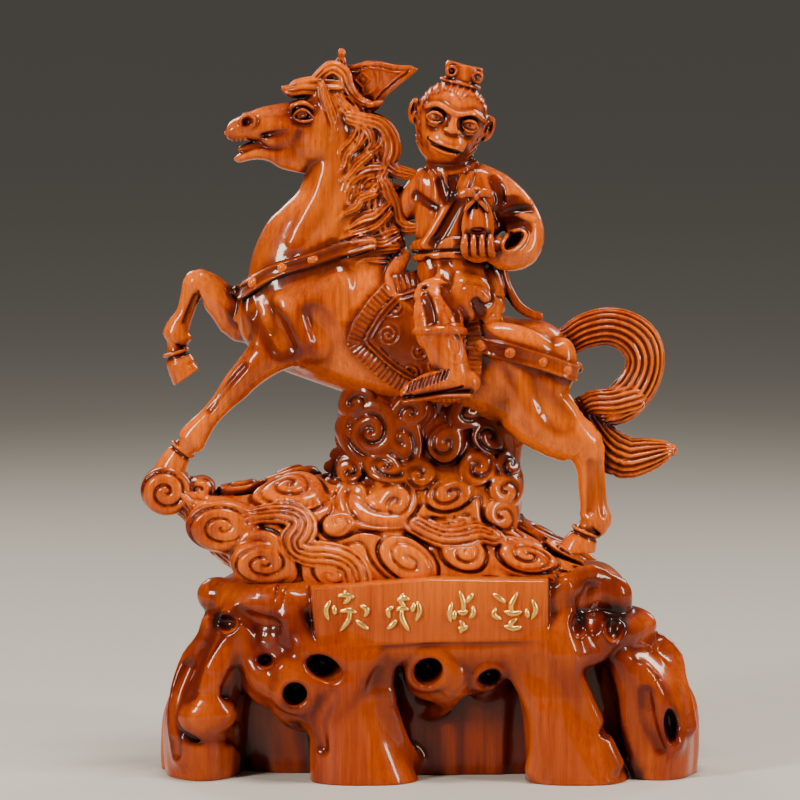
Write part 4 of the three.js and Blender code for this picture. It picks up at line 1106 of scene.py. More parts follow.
CLOTH = [
  [-17.2, 273.4], [-23.7, 267.3], [-29.7, 260.6], [-35.2, 251.8], [-39.0, 244.1], [-40.1, 238.0],
  [-37.3, 233.0], [-31.9, 227.5], [-22.1, 218.6], [-10.1, 210.9], [2.5, 206.5], [16.1, 205.9],
  [25.9, 209.8], [31.9, 218.6], [33.5, 235.2], [31.4, 251.8], [27.0, 268.4], [5.2, 277.2], [-17.2, 273.4]
]
BREAST_STRAP = [
  [-99.6, 264.7], [-91.4, 270.2], [-83.8, 275.2], [-75.6, 279.0], [-59.2, 284.0], [-43.0, 289.5],
  [-27.6, 292.3]
]
CRUPPER_STRAP = [[22.6, 240.5], [32.5, 237.5], [48.3, 233.9], [66.0, 228.6], [76.1, 225.0], [84.8, 221.7]]
trunk_cuts, x, y, z = horse.window((-112, -33, 190), (95, 33, 305))
trunk_now = horse.depth[trunk_cuts].copy()
x, z = horse.axes[0][trunk_cuts[0]][:, None], horse.axes[2][trunk_cuts[2]][None, :]
hem = along_spline(CLOTH, 5)
edge = polygon_distance(x, z, hem).astype(np.float32)
_, along = line_distance(x, z, hem)
tassels = np.abs(np.cos(along * math.pi / 2.9 + 0.25 * np.sin(along)))
fringe = np.where(edge > -8.2, 0.75 * tassels + 0.1 * (edge + 8.2) / 8.2, 0)
band = np.where((edge < -8.8) & (edge > -13.2), 1.5 - 0.9 * np.exp(-((edge + 11) / 0.55) ** 2), 0)
swirl = np.zeros_like(edge)
for sx, sz, size in (
    (-17.5, 243.5, 7.5), (-28, 232, 5.5), (-19, 226, 6.5), (-5, 222, 7), (9, 226, 6.5), (17, 238, 6),
    (-14, 258, 6), (20, 252, 5), (0, 234, 5.5)
):
    dx, dz = x - sx, z - sz
    away = np.hypot(dx, dz)
    turns = np.cos(away * 2 * math.pi / 3.1 - np.arctan2(dz, dx) * (1 if sx < 0 else -1))
    swirl = np.where(away < size, 0.6 * np.clip(turns, -0.2, 1) * clamp((size - away) / 1.2, 0, 1), swirl)
field = np.where(edge <= -13.4, 0.9 + swirl, 0)
cloth = (1.9 + fringe + band + field).astype(np.float32)[:, None, :]
horse.add(trunk_cuts, np.maximum(trunk_now - cloth, edge[:, None, :].astype(np.float32)), 0.4)
strap(horse, BREAST_STRAP, 3.6, 1.9, (trunk_cuts, trunk_now))
strap(horse, CRUPPER_STRAP, 4.7, 1.9, (trunk_cuts, trunk_now))
# the pommel and the edge of the saddle in front of the rider
limb(horse, [
    [-16, -14, 268, 5, 4], [-13, -10, 279, 5, 5], [-10, 0, 284, 5, 6], [-13, 10, 279, 5, 5],
    [-16, 14, 268, 5, 4]
], blend=2)
for side in (-1, 1):
    strand(horse, [
        [-13.4, 283.7, 1.4, 1.2], [-17.7, 275.9, 2, 1.8], [-16.1, 267.1, 2, 1.8], [-10.1, 260.4, 2, 1.8],
        [-4.6, 256.0, 1.4, 1.2]
    ], blend=0.8, sink=0.2, side=side)
# flag
FLAG = [
  [-56.5, 380.3], [-51.5, 384.7], [-46.3, 387.7], [-41.0, 388.6], [-36.1, 388.8], [-29.5, 391.0],
  [-21.8, 390.8], [-16.2, 389.4], [-11.3, 388.6], [-5.8, 388.6], [-1.1, 386.3], [-4.1, 384.1],
  [-6.3, 381.9], [-10.2, 379.2], [-14.0, 375.8], [-17.9, 372.5], [-20.7, 369.2], [-22.9, 364.8],
  [-27.3, 362.0], [-33.3, 359.3], [-42.1, 362.6], [-49.8, 370.3]
]
cuts, x, y, z = horse.window((-60, -8, 350), (6, 14, 398))
flag_edge = polygon_distance(x[:, 0], z[0], FLAG).astype(np.float32)[:, None, :]
wave = 2.2 * np.sin(x * 0.15 + 0.4 + 0.05 * z) + 1.0 * np.sin(z * 0.22 - 0.08 * x)
disc = np.hypot(x + 31.9, z - 380.6)
mark = 0.8 * np.exp(-((disc - 8.6) / 0.8) ** 2) + 0.0 * y
dx, dz = np.abs(x + 31.9), np.abs(z - 380.6)
seal = (np.abs(dx + dz - 4.2) < 0.7) | (disc < 1.2) | ((dx < 0.6) & (dz > 4.6) & (disc < 7))
border = 0.7 * seal + 0.9 * ((flag_edge > -2.4) | ((flag_edge > -4.4) & (flag_edge < -3.3))) + mark
horse.add(cuts, np.maximum(np.abs(y - 3 - wave) - 2.0 - border, flag_edge).astype(np.float32), 0.5)
limb(horse, [[-45, 3, 384, 2.4, 2.4], [-30, 6, 352, 2.4, 2.4], [-13, 8, 313, 2.4, 2.4]], blend=0.5)
egg(horse, (-43.5, 3, 390), (2.9, 2.9, 3.6), blend=0.5)
egg(horse, (-43.2, 3, 395.0), (2.2, 2.2, 2.9), blend=0.6)

def saddle_cloth_less_shade(at):
    """Less painted shade, by 0.12, on the near side of the saddle cloth."""
    x, y, z = at[:, 0], at[:, 1], at[:, 2]
    return -0.12 * ((x > -46) & (x < 8) & (y < -18) & (z > 206) & (z < 276))

settle(finish_mesh(horse, "galloping_horse", saddle_cloth_less_shade))


# The monkey rider: carved in one with the saddle, in a belted robe, wide trousers and boots, with a
# small cap. The near hand holds a wrapped seal and the far hand grips the flag's pole.
rider = Block((-28, -50, 198), (74, 42, 394), 0.45 * COARSE)
MONKEY_TRUNK = [
  [17, -2, 338, 9, 8], [18, -3, 328, 18, 12], [18, -4, 314, 21, 15], [17, -5, 298, 20, 15],
  [19, -5, 286, 21, 16], [21, -5, 272, 23, 18], [23, -5, 258, 22, 18], [23, -5, 250, 15, 14],
]
NEAR_ARM = [
  [32, -3, 327, 8, 9], [42, -5, 321, 9.5, 9.5], [52, -8, 310, 10.5, 10], [57, -11, 298, 10.5, 10],
  [55, -14, 289, 10, 10], [47, -19, 287, 9.5, 9], [41, -22, 289, 8, 8],
]
FAR_ARM = [[4, -2, 325, 9, 9], [-5, 1, 314, 8.5, 8], [-12, 5, 309, 7, 6.5], [-15, 8, 315, 5, 5]]
COAT_SKIRT = [
  [25, -6, 278, 15, 14], [31, -9, 264, 15.5, 13.5], [34, -12, 252, 11, 11], [30, -14, 243, 6, 7]
]
MONKEY_TAIL = [
  [43, -4, 282, 3.5, 3.5], [46, -5, 270, 3.0, 3.0], [52, -6, 259, 2.8, 2.8], [58, -6, 254, 2.6, 2.6],
  [65, -6, 251, 2.2, 2.2]
]
NEAR_TROUSER = [
  [20, -10, 270, 16, 12], [13, -20, 264, 14, 11], [9, -28, 257, 13, 9.5], [10, -31, 248, 13.5, 10],
  [10.5, -31, 243, 13.0, 9.5]
]
NEAR_BOOT = [
  [11, -32, 247, 11, 8.5], [12, -33, 240, 10.6, 8.6], [15, -34, 231, 10.3, 8.3], [18, -35, 221, 9.2, 8]
]
NEAR_FOOT = [
  [26, -35, 218, 6.5, 7], [16, -36, 219, 8.2, 7.5], [5, -36, 216.5, 7, 7.5], [-3, -36, 214, 5.4, 6.5],
  [-9.5, -36, 212, 3, 4.5]
]
FAR_LEG = [
  [20, 4, 268, 15, 11], [11, 22, 259, 13, 9.5], [12, 27, 246, 13, 9.5], [13, 29, 233, 11, 8.5],
  [18, 30, 221, 8, 7]
]
FAR_FOOT = [[23, 30, 220, 6, 6], [5, 31, 217, 6.5, 7], [-8, 31, 213, 3, 4]]
ridge(rider, MONKEY_TRUNK, axis=2)
limb(rider, NEAR_ARM, blend=3)
limb(rider, FAR_ARM, blend=3)
egg(rider, (37, -7, 310), (11, 9, 17), blend=3)
egg(rider, (24, -21, 263), (17, 10.5, 13.5), blend=4, tilt=10)
limb(rider, COAT_SKIRT, blend=1.5)
limb(rider, NEAR_TROUSER, blend=2.5)
limb(rider, NEAR_BOOT, blend=0.5)
limb(rider, NEAR_FOOT, blend=2)
limb(rider, FAR_LEG, blend=3)
limb(rider, FAR_FOOT, blend=1)
limb(rider, MONKEY_TAIL, blend=1)

def ring(centre, half, radius, turn=(0, 0, 0), count=16, high=None):
    own = turned(*turn)
    at = np.linspace(0, 2 * math.pi, count + 1)
    return [
      list(np.asarray(centre) + own @ (half[0] * math.cos(a), half[1] * math.sin(a), 0))
      + [high or radius, radius] for a in at
    ]

# belt, wound twice, and the cuff
limb(rider, ring((17.5, -5, 289.5), (20.0, 15.6), 2.0, (0, -12, 0), high=3.6), blend=0.6, steps=2)
limb(rider, ring((18.5, -5, 283.0), (21.0, 16.4), 1.8, (0, -12, 0), high=2.2), blend=0.6, steps=2)
limb(rider, ring((10.5, -31, 245.5), (12.8, 9.4), 2.0, (0, -8, 0), high=2.4), blend=0.6, steps=2)
# scarf, lapels and the band across the chest: ridges first, then cut lines
RIDGES = [
  [
    [27.0, 329.7, 2.4, 2.2], [23.2, 323.6, 3.4, 2.4], [15.6, 312.0, 3.6, 2.4], [9.0, 300.9, 3.6, 2.4],
    [2.5, 291.0, 3.2, 2]
  ],
  [[6.3, 330.8, 2.2, 2], [9.0, 324.2, 2.6, 2], [9.0, 316.4, 2.6, 2], [6.3, 308.7, 2, 1.6]],
  [[12.8, 330.9, 2, 2], [13.9, 324.3, 2.4, 2.4], [15.0, 318.2, 2.0, 2.2], [14.5, 314.3, 1, 1.2]],
  [[22.7, 328.7, 2, 2], [19.4, 323.2, 2.2, 2.4], [16.1, 318.2, 1.8, 2.2]],
  [
    [5.2, 333.9, 2, 2.4], [10.7, 331.1, 3, 3], [17.2, 330.6, 3, 3.2], [23.8, 332.3, 3, 3],
    [29.2, 335.0, 2, 2.4]
  ],
]
for line in RIDGES:
    strand(rider, line, blend=1.0, sink=0.4)
CUTS = [
  [[-3.0, 318.6, 0.6, 0.8], [3.0, 314.8, 0.7, 1.0], [8.5, 311.4, 0.5, 0.8]],
  [[21.0, 315.4, 1, 1.4], [16.1, 306.6, 1.2, 1.8], [11.2, 297.7, 1.2, 1.8], [6.3, 291.6, 0.8, 1.2]],
  [[10.6, 326.5, 0.8, 1.2], [12.3, 321.0, 1, 1.6], [15.0, 315.4, 0.8, 1.2]],
  [[17.7, 327.6, 0.8, 1.2], [17.2, 323.2, 1, 1.6], [16.1, 318.7, 0.8, 1.2]],
  # sleeve folds
  [[41.2, 310.0, 1.2, 2], [47.8, 314.4, 1.5, 2.6], [54.9, 316.1, 1.2, 2]],
  [[41.8, 307.2, 1.2, 2], [50.0, 310.0, 1.6, 2.6], [59.8, 311.7, 1.1, 1.8]],
  [[43.4, 304.5, 1.1, 2], [51.0, 303.9, 1.6, 2.6], [58.7, 300.6, 1.2, 2]],
  [[39.1, 328.2, 1, 1.8], [42.4, 321.5, 1.4, 2.4], [43.5, 314.9, 1, 1.8]],
  # trousers and skirt
  [[4.1, 283.7, 1, 1.8], [5.2, 276.5, 1.4, 2.4], [1.9, 269.3, 1, 1.8]],
  [[13.9, 282.6, 1, 1.8], [14.5, 275.9, 1.4, 2.2], [12.8, 268.2, 1, 1.6]],
  [[1.9, 265.3, 1, 1.8], [5.2, 258.6, 1.4, 2.4], [6.3, 250.9, 1, 1.8]],
  [[12.8, 266.4, 1, 1.8], [17.2, 260.9, 1.4, 2.4], [20.4, 253.1, 1, 1.8]],
  [[36.9, 278.8, 1, 1.8], [40.2, 270.0, 1.5, 2.4], [36.9, 260.0, 1.2, 2]],
  [[29.2, 262.2, 1, 1.8], [32.5, 254.5, 1.4, 2.4], [29.2, 245.6, 1, 1.8]],
]
for line in CUTS:
    strand(rider, [[x, z, 1.6 * a, 0.45 * b] for x, z, a, b in line], blend=3.0, sink=0, how=carve)
RAISED = [
  [[-2.5, 264.2, 1.6, 1.8], [0.8, 269.7, 2, 2], [7.4, 272.5, 2, 2], [13.9, 270.8, 1.6, 1.8]],
  [[8.4, 263.1, 1.6, 1.6], [10.6, 256.4, 2, 2], [13.9, 250.9, 1.6, 1.6]],
  [[24.9, 268.9, 2, 1.8], [31.4, 267.2, 2.6, 2.2], [35.8, 262.8, 2.2, 2]],
  [[42.3, 308.9, 1.4, 1.4], [50.0, 312.8, 1.8, 1.8], [59.8, 313.9, 1.2, 1.2]],
  [[43.4, 306.1, 1.4, 1.4], [52.1, 307.2, 1.8, 1.8], [60.9, 305.6, 1.2, 1.2]],
]
for line in RAISED:
    strand(rider, line, blend=2.0, sink=0.2)
# the sleeve's open end
hollow(rider, 50.5, 294.2, 3.0, 6.5, 12, blend=1.2, tilt=52, rim=1.5)
# boot: long oval panel, ribbed toe strip and sole
for size, sink in ((1.0, 0.3), (0.52, 0.2)):
    oval = []
    for a in np.linspace(0, 2 * math.pi, 21):
        x = 17.0 + 5.0 * size * math.cos(a) - 1.6 * size * math.sin(a)
        oval.append([x, 239.0 + 10 * size * math.sin(a), 0.8, 0.9])
    strand(rider, oval, blend=0.5, sink=sink)
STRIP = [
  [-8.9, 214.3, 1, 1], [-2.4, 218.2, 2.6, 1.2], [6.2, 222.1, 2.8, 1.2], [14.4, 222.6, 2.2, 1],
  [17.6, 219.9, 1, 1]
]
strand(rider, STRIP, blend=0.6, sink=0.2)
for i in range(11):
    x, z = -5.9 + 2.01 * i, 215.9 + 0.7 * i
    strand(
        rider, [[x - 1.0, z - 2.4, 0.45, 0.6], [x + 0.8, z + 2.6, 0.45, 0.6]], blend=0.5, sink=0,
        how=carve
    )
limb(rider, [
    [26, -36, 211.5, 2.4, 7.8], [12, -37, 211.5, 2.0, 8.2], [0, -37, 209.5, 2.0, 7.8],
    [-10, -37, 208, 1.8, 5]
], blend=0.4, across=(0, 1, 0))
strand(
    rider, [[-8.9, 211.1, 0.5, 1.0], [5.1, 211.7, 0.5, 1.0], [22.5, 216.6, 0.5, 1.0]], blend=0.3,
    how=carve
)
# the wrapped seal in the hand
limb(rider, [
    [30, -24, 321, 3, 3], [30, -25, 316, 5.5, 5.5], [31, -26, 309, 8, 7.5], [31, -26, 302, 9, 8],
    [31, -26, 299, 8.6, 7.6]
], blend=0.6)
egg(rider, (31, -25, 291), (9.6, 9, 8.6), blend=1.0)
scoop(rider, (31, -34.5, 300.0), (5.6, 3.2, 2.4), blend=0.8)
strand(rider, [
    [23.1, 304.6, 0.9, 0.9], [26.9, 301.9, 1.1, 1.1], [31.8, 301.0, 1.2, 1.2], [36.7, 301.9, 1.1, 1.1],
    [40.0, 304.6, 0.9, 0.9]
], blend=0.6, sink=0.4)
for line in [
  [[25.8, 318.9, 0.6, 0.9], [26.9, 312.3, 0.6, 0.9]], [[30.2, 320.0, 0.6, 0.9], [30.2, 312.8, 0.6, 0.9]],
  [[35.6, 318.3, 0.6, 0.9], [34.5, 312.3, 0.6, 0.9]]
]:
    strand(rider, line, blend=0.6, how=carve)
for side in (-1, 1):
    limb(rider, [
        [30, -31, 318.5, 1.6, 1.4], [30 + 4 * side, -32, 321, 2.8, 2.0],
        [30 + 8 * side, -31, 320, 2.4, 1.8]
    ], blend=0.6)
    limb(rider, [
        [30, -31.5, 318, 1.2, 1.2], [30 + 4 * side, -33, 314.5, 1.4, 1.0],
        [30 + 6 * side, -33, 311, 0.9, 0.8]
    ], blend=0.5)
egg(rider, (30, -32.5, 318.6), (1.9, 1.9, 1.9), blend=0.4)
for i in range(4):
    x = 24 + 4.6 * i
    limb(rider, [
        [x + 1, -30, 286.5, 1.9, 2.1], [x, -34.6, 290, 2.1, 2.3], [x - 0.2, -35.2, 294.5, 1.9, 2.1],
        [x, -33.6, 297.5, 1.4, 1.6]
    ], blend=0.5, across=(1, 0, 0))
egg(rider, (-13.5, 6.5, 318), (5.5, 5, 6), blend=1)
for i in range(3):
    limb(rider, [
        [-17 + 0.8 * i, 2.5, 321 - 3.4 * i, 1.6, 1.6], [-13 + 0.8 * i, 0.8, 321.5 - 3.4 * i, 1.7, 1.7],
        [-9.5 + 0.8 * i, 2.5, 321 - 3.4 * i, 1.5, 1.5]
    ], blend=0.4)
# head
HEAD_AT, HEAD_TURN = np.array([16.2, -6.0, 357.0]), turned(14, 0, 0)

def on_head(x, y, z):
    return list(HEAD_AT + HEAD_TURN @ (x, y, z))

def head_limb(rows, blend=0.6, **how):
    limb(rider, [on_head(*r[:3]) + list(r[3:]) for r in rows], blend=blend, **how)

def head_groove(rows, blend=0.6, **how):
    carve(rider, [on_head(*r[:3]) + list(r[3:]) for r in rows], blend=blend, **how)

egg(rider, on_head(0, 1, 3), (19.3, 18, 21), blend=2, tilt=14)
egg(rider, on_head(0, -1, -11), (15.5, 14, 12.5), blend=5, tilt=14)
egg(rider, on_head(0.5, -10.5, -9.0), (12, 10, 9.5), blend=4, tilt=14)
head_limb([
    (-15, -11, 6.8, 1.5, 1.7), (-9, -15.6, 9.2, 1.9, 1.9), (-3, -17.4, 7.6, 1.5, 1.6),
    (1, -17.8, 6.8, 1.5, 1.6), (6, -17.2, 7.6, 1.5, 1.6), (11, -14.6, 9.0, 1.9, 1.9),
    (16, -10.5, 6.6, 1.5, 1.7)
], blend=3)
for s, cx in ((-1, -8.9), (1, 9.9)):
    scoop(rider, on_head(cx, -17.8, 3.2), (5.2, 3.7, 3.7), blend=1.8, tilt=14)
    egg(rider, on_head(cx, -14.1, 2.5), (3.9, 3.2, 3.1), blend=0.3, tilt=14)
    head_limb([
        (cx - 4.4 * s, -15.6, 2.2, 0.7, 0.9), (cx - 2 * s, -17.2, 4.6, 0.9, 1.1),
        (cx + 2 * s, -16.6, 4.8, 0.9, 1.1), (cx + 4.8 * s, -13.2, 2.0, 0.7, 0.9)
    ], blend=0.5)
    head_limb([
        (cx - 4.2 * s, -15.6, 1.6, 0.6, 0.8), (cx - 1.6 * s, -17, -0.3, 0.8, 1),
        (cx + 2 * s, -16.2, -0.4, 0.8, 1), (cx + 4.6 * s, -13.2, 1.4, 0.6, 0.8)
    ], blend=0.5)
    head_limb([
        (cx - 3.4 * s, -16.2, -1.4, 0.4, 0.6), (cx, -16.6, -2.6, 0.5, 0.7),
        (cx + 4 * s, -14.3, -1.6, 0.4, 0.6)
    ], blend=1.6)
    scoop(rider, on_head(cx + 0.2, -17.3, 2.9), (0.9, 0.8, 0.9), blend=0.2)
    for k in range(3):
        head_groove([
            ((13.6 - 1.0 * k) * s, -13.4 - 1.2 * k, -4, 0.45, 1),
            ((13.8 - 1.2 * k) * s, -12.2 - 1.4 * k, -10, 0.6, 1.2),
            ((10.5 - 1.2 * k) * s, -11.6 - 1.2 * k, -16, 0.5, 1),
            ((5.5 - 1.0 * k) * s, -11.4 - 1.0 * k, -20, 0.4, 0.8)
        ], blend=0.5)
    scoop(rider, on_head(1.4 + 2.6 * s, -20.6, -3.1), (1.1, 1.8, 0.8), blend=0.4, tilt=14)
    egg(rider, on_head(20.6 * s, 1.0, 2.4), (3.6, 2.8, 7.0), blend=0.8, tilt=14 + 5 * s)
    scoop(rider, on_head(21.0 * s, -2.2, 3.2), (1.8, 2.4, 4.6), blend=0.5, tilt=14 + 5 * s)
    egg(rider, on_head(20.2 * s, -1.2, 0.6), (1.3, 1.3, 1.9), blend=0.4)
head_limb(
    [(1, -16.6, 6, 1.8, 2.2), (1, -18.6, 1, 1.9, 2.2), (1.4, -19.8, -2.4, 2.0, 3.2)], blend=1.2,
    across=(1, 0, 0)
)
for s in (-1, 1):
    egg(rider, on_head(1.4 + 3.0 * s, -18.6, -2.6), (1.9, 1.8, 1.5), blend=0.6)
head_groove([
    (-10.5, -14.6, -9.6, 0.5, 1.1), (-5.5, -18.8, -11.8, 0.6, 1.5), (0, -20.4, -12.5, 0.7, 1.7),
    (5, -19.0, -12.8, 0.7, 1.5), (9.4, -15.6, -13.4, 0.5, 1.1)
], blend=0.5, across=(0, 1, 0))
head_limb(
    [(-7, -17.2, -13.4, 0.8, 1.1), (0, -19.4, -14.6, 1.2, 1.4), (6.4, -17.4, -14.8, 0.8, 1.1)], blend=1.0
)
head_limb([
    (-9, -16.4, -9.4, 0.7, 1.0), (-4, -19.6, -10.4, 0.9, 1.2), (1, -20.4, -11.2, 0.8, 1.2),
    (6, -18.8, -11.2, 0.8, 1.1), (9, -16, -12, 0.6, 0.9)
], blend=1.0)
for k in range(3):
    head_groove([
        (-9 + k, -15.4 - 0.4 * k, 12.6 + 1.2 * k, 0.35, 0.7), (-4, -17.2, 12.0 + 1.3 * k, 0.4, 0.8),
        (1.5, -17.6, 10.6 + 1.3 * k, 0.45, 0.9), (7, -16.6, 12.0 + 1.3 * k, 0.4, 0.8),
        (11 - k, -15, 12.2 + 1.2 * k, 0.35, 0.7)
    ], blend=0.4)
# hair: a stepped heart-shaped hairline, and combed strands behind it
HAIRLINE = [
  (1.8, 14.6), (6, 17.6), (10, 17.8), (14, 14.8), (17, 9.5), (17.6, 2), (15.5, -8), (11, -17), (0, -25),
  (-11, -17), (-15.5, -8), (-17.4, 2), (-16.9, 6), (-14.8, 12.6), (-8, 17.4), (-2.6, 17.2)
]
cuts, x, y, z = rider.window(HEAD_AT - 28, HEAD_AT + 28)
x, y, z = x - HEAD_AT[0], y - HEAD_AT[1], z - HEAD_AT[2]
lx, ly, lz = (x * HEAD_TURN[0, i] + y * HEAD_TURN[1, i] + z * HEAD_TURN[2, i] for i in range(3))
outside = polygon_distance(lx, lz, HAIRLINE).astype(np.float32)
behind = clamp(ly / 3, 0, 1)
hair = np.maximum(clamp(outside / 0.8, 0, 1), behind)
hair = hair * clamp((lz + 20) / 5, 0, 1) * clamp((21.5 - np.abs(lx)) / 1.5, 0, 1)
comb = np.arctan2(np.hypot(lx, 0.001) * np.sign(lx), lz + 30) * 46 + 0.5 * np.sin(lz * 0.5)
strands = 0.7 * np.abs(np.cos(comb))
rider.depth[cuts] += (hair * (strands - 0.9)).astype(np.float32)
# the cap on its band
limb(rider, [
    on_head(0, 1, 22) + [10.2, 8.6], on_head(0, 1, 24.5) + [9.4, 8.2], on_head(0, 1, 27.5) + [9.8, 8.2],
    on_head(0, 1, 30.5) + [10.6, 8.4]
], blend=0.4, across=(0, 1, 0))
limb(
    rider,
    [
      on_head(10.4 * math.cos(a), 1 + 8.8 * math.sin(a), 22.8) + [1.3, 1.3]
      for a in np.linspace(0, 2 * math.pi, 17)
    ],
    blend=0.3
)
scoop(rider, on_head(0, 1, 39.4), (13, 12, 8.4), blend=0.5, tilt=14)
for u in (-6.4, 8.0):
    limb(
        rider,
        [
          on_head(u + 2.4 * math.cos(a), -6.6 + 0.05 * u, 28.4 + 2.5 * math.sin(a)) + [0.9, 0.9]
          for a in np.linspace(0, 2 * math.pi, 13)
        ],
        blend=0.4
    )
    scoop(rider, on_head(u, -8.0, 28.4), (1.5, 1.6, 1.6), blend=0.3)
    egg(rider, on_head(u, -6.6, 28.4), (0.9, 0.9, 0.9), blend=0.2)
settle(finish_mesh(rider, "monkey_rider"))


# The studs of the breast strap and the breeching: low round domes on flat collars, carved standing on
# the straps and polished, at the same places on both sides.

def grown(name, verts, edges, tree, values):
    """Runs a node tree on a mesh of points or lines and keeps the result as plain mesh."""
    mesh = bpy.data.meshes.new(name)
    mesh.from_pydata([[c * MM for c in v] for v in verts], edges, [])
    made = bpy.data.objects.new(name, mesh)
    bpy.context.scene.collection.objects.link(made)
    modifier = made.modifiers.new("carve", "NODES")
    modifier.node_group = tree
    for item in tree.interface.items_tree:
        if item.item_type == "SOCKET" and item.in_out == "INPUT" and item.name in values:
            modifier[item.identifier] = values[item.name]
    kept = bpy.data.meshes.new_from_object(made.evaluated_get(bpy.context.evaluated_depsgraph_get()))
    made.modifiers.remove(modifier)
    made.data = kept
    kept.polygons.foreach_set("use_smooth", [True] * len(kept.polygons))
    return made

class Tree:
    """A geometry node tree with named inputs that ends in Realize Instances and Set Material."""

    def __init__(self, name, inputs):
        self.group = bpy.data.node_groups.new(name, "GeometryNodeTree")
        self.group.interface.new_socket("Geometry", in_out="INPUT", socket_type="NodeSocketGeometry")
        for label, value in inputs.items():
            socket = self.group.interface.new_socket(label, in_out="INPUT", socket_type="NodeSocketFloat")
            socket.default_value = value
        self.group.interface.new_socket("Geometry", in_out="OUTPUT", socket_type="NodeSocketGeometry")
        self.inputs = self.group.nodes.new("NodeGroupInput").outputs

    def node(self, kind, settings=None, sockets=None):
        made = self.group.nodes.new(kind)
        for name, value in (settings or {}).items():
            setattr(made, name, value)
        for name, value in (sockets or {}).items():
            if isinstance(value, bpy.types.NodeSocket):
                self.group.links.new(value, made.inputs[name])
            else:
                made.inputs[name].default_value = value
        return made

    def close(self, geometry, material):
        real = self.node("GeometryNodeRealizeInstances", {}, {"Geometry": geometry})
        done = self.node(
            "GeometryNodeSetMaterial", {}, {"Geometry": real.outputs[0], "Material": material}
        )
        self.group.links.new(done.outputs[0], self.group.nodes.new("NodeGroupOutput").inputs[0])
        return self.group

studs = Tree("round_studs", {"Dome radius": 0.0022, "Collar radius": 0.0030})
dome = studs.node(
    "GeometryNodeMeshUVSphere", {}, {"Segments": 20, "Rings": 12, "Radius": studs.inputs["Dome radius"]}
)
low_dome = studs.node(
    "GeometryNodeTransform", {}, {"Geometry": dome.outputs["Mesh"], "Scale": (1, 0.62, 1)}
)
disc = studs.node(
    "GeometryNodeMeshUVSphere", {}, {"Segments": 24, "Rings": 12, "Radius": studs.inputs["Collar radius"]}
)
low_disc = studs.node(
    "GeometryNodeTransform", {}, {"Geometry": disc.outputs["Mesh"], "Scale": (1, 0.26, 1)}
)
both = studs.node("GeometryNodeJoinGeometry")
studs.group.links.new(low_disc.outputs[0], both.inputs[0])
studs.group.links.new(low_dome.outputs[0], both.inputs[0])
placed = studs.node(
    "GeometryNodeInstanceOnPoints", {}, {"Points": studs.inputs["Geometry"], "Instance": both.outputs[0]}
)
STUDS = [
  [-91.4, 270.4], [-75.1, 279.2], [-58.7, 283.9], [32.5, 237.5], [48.3, 233.9], [66.0, 228.6],
  [79.4, 223.9]
]
stud_places = [[x, face_at(horse, x, z, side) + 0.2 * side, z] for side in (-1, 1) for x, z in STUDS]
strap_studs = grown(
    "strap_studs", stud_places, [], studs.close(placed.outputs[0], ROSEWOOD),
    {"Dome radius": 0.0022, "Collar radius": 0.0031}
)
settle(strap_studs, stands_for_block=False)


# The gilded strokes of the plaque: shallow brushed marks in four groups, none of them a letter, laid
# in gold on the bowed face of the plaque.

def burnished_gold():
    made, shade, skin = new_material("burnished_gold")
    place = shade.node("ShaderNodeTexCoord", out=3)
    worn = shade.node("ShaderNodeTexNoise", {}, {"Vector": place, "Scale": 600.0, "Detail": 3.0})
    tone = shade.blend(worn.within(0.35, 0.7), (0.82, 0.44, 0.07, 1), (0.96, 0.66, 0.2, 1))
    shade.tree.links.new(tone.socket, skin.inputs["Base Color"])
    skin.inputs["Metallic"].default_value = 1.0
    rough = worn * 0.25 + 0.2
    shade.tree.links.new(rough.socket, skin.inputs["Roughness"])
    return made

strokes = Tree("brushed_strokes", {"Thickness": 0.0009})
curves = strokes.node("GeometryNodeMeshToCurve", {}, {"Mesh": strokes.inputs["Geometry"]})
smooth = strokes.node(
    "GeometryNodeCurveSplineType", {"spline_type": "CATMULL_ROM"}, {"Curve": curves.outputs[0]}
)
even = strokes.node("GeometryNodeResampleCurve", {}, {"Curve": smooth.outputs[0], "Count": 14})
along_it = strokes.node("GeometryNodeSplineParameter")
arch = strokes.node(
    "ShaderNodeMath", {"operation": "MULTIPLY"}, {0: along_it.outputs["Factor"], 1: math.pi}
)
swell = strokes.node("ShaderNodeMath", {"operation": "SINE"}, {0: arch.outputs[0]})
blunt = strokes.node("ShaderNodeMath", {"operation": "POWER"}, {0: swell.outputs[0], 1: 0.45})
size = strokes.node(
    "ShaderNodeMath", {"operation": "MULTIPLY"}, {0: blunt.outputs[0], 1: strokes.inputs["Thickness"]}
)
ring_curve = strokes.node("GeometryNodeCurvePrimitiveCircle", {}, {"Resolution": 10, "Radius": 1.0})
tube = strokes.node(
    "GeometryNodeCurveToMesh", {},
    {
        "Curve": even.outputs[0], "Profile Curve": ring_curve.outputs[0], "Fill Caps": True,
        "Scale": size.outputs[0]
    }
)
COLUMN_MM, MIDDLE_COLUMN = 0.54, 420.5  # a column of the picture, and the one over the middle
GROUPS = [[320, 371], [384, 423], [446, 476], [489, 541]]  # first and last column of each
chance = np.random.default_rng(7)
gilt_points, gilt_lines = [], []

def gilt_stroke(points):
    start = len(gilt_points)
    for x, z in points:
        gilt_points.append([x, PLAQUE_BOW * (x - 5) ** 2 - 56.9, z])
    gilt_lines.extend((start + i, start + i + 1) for i in range(len(points) - 1))

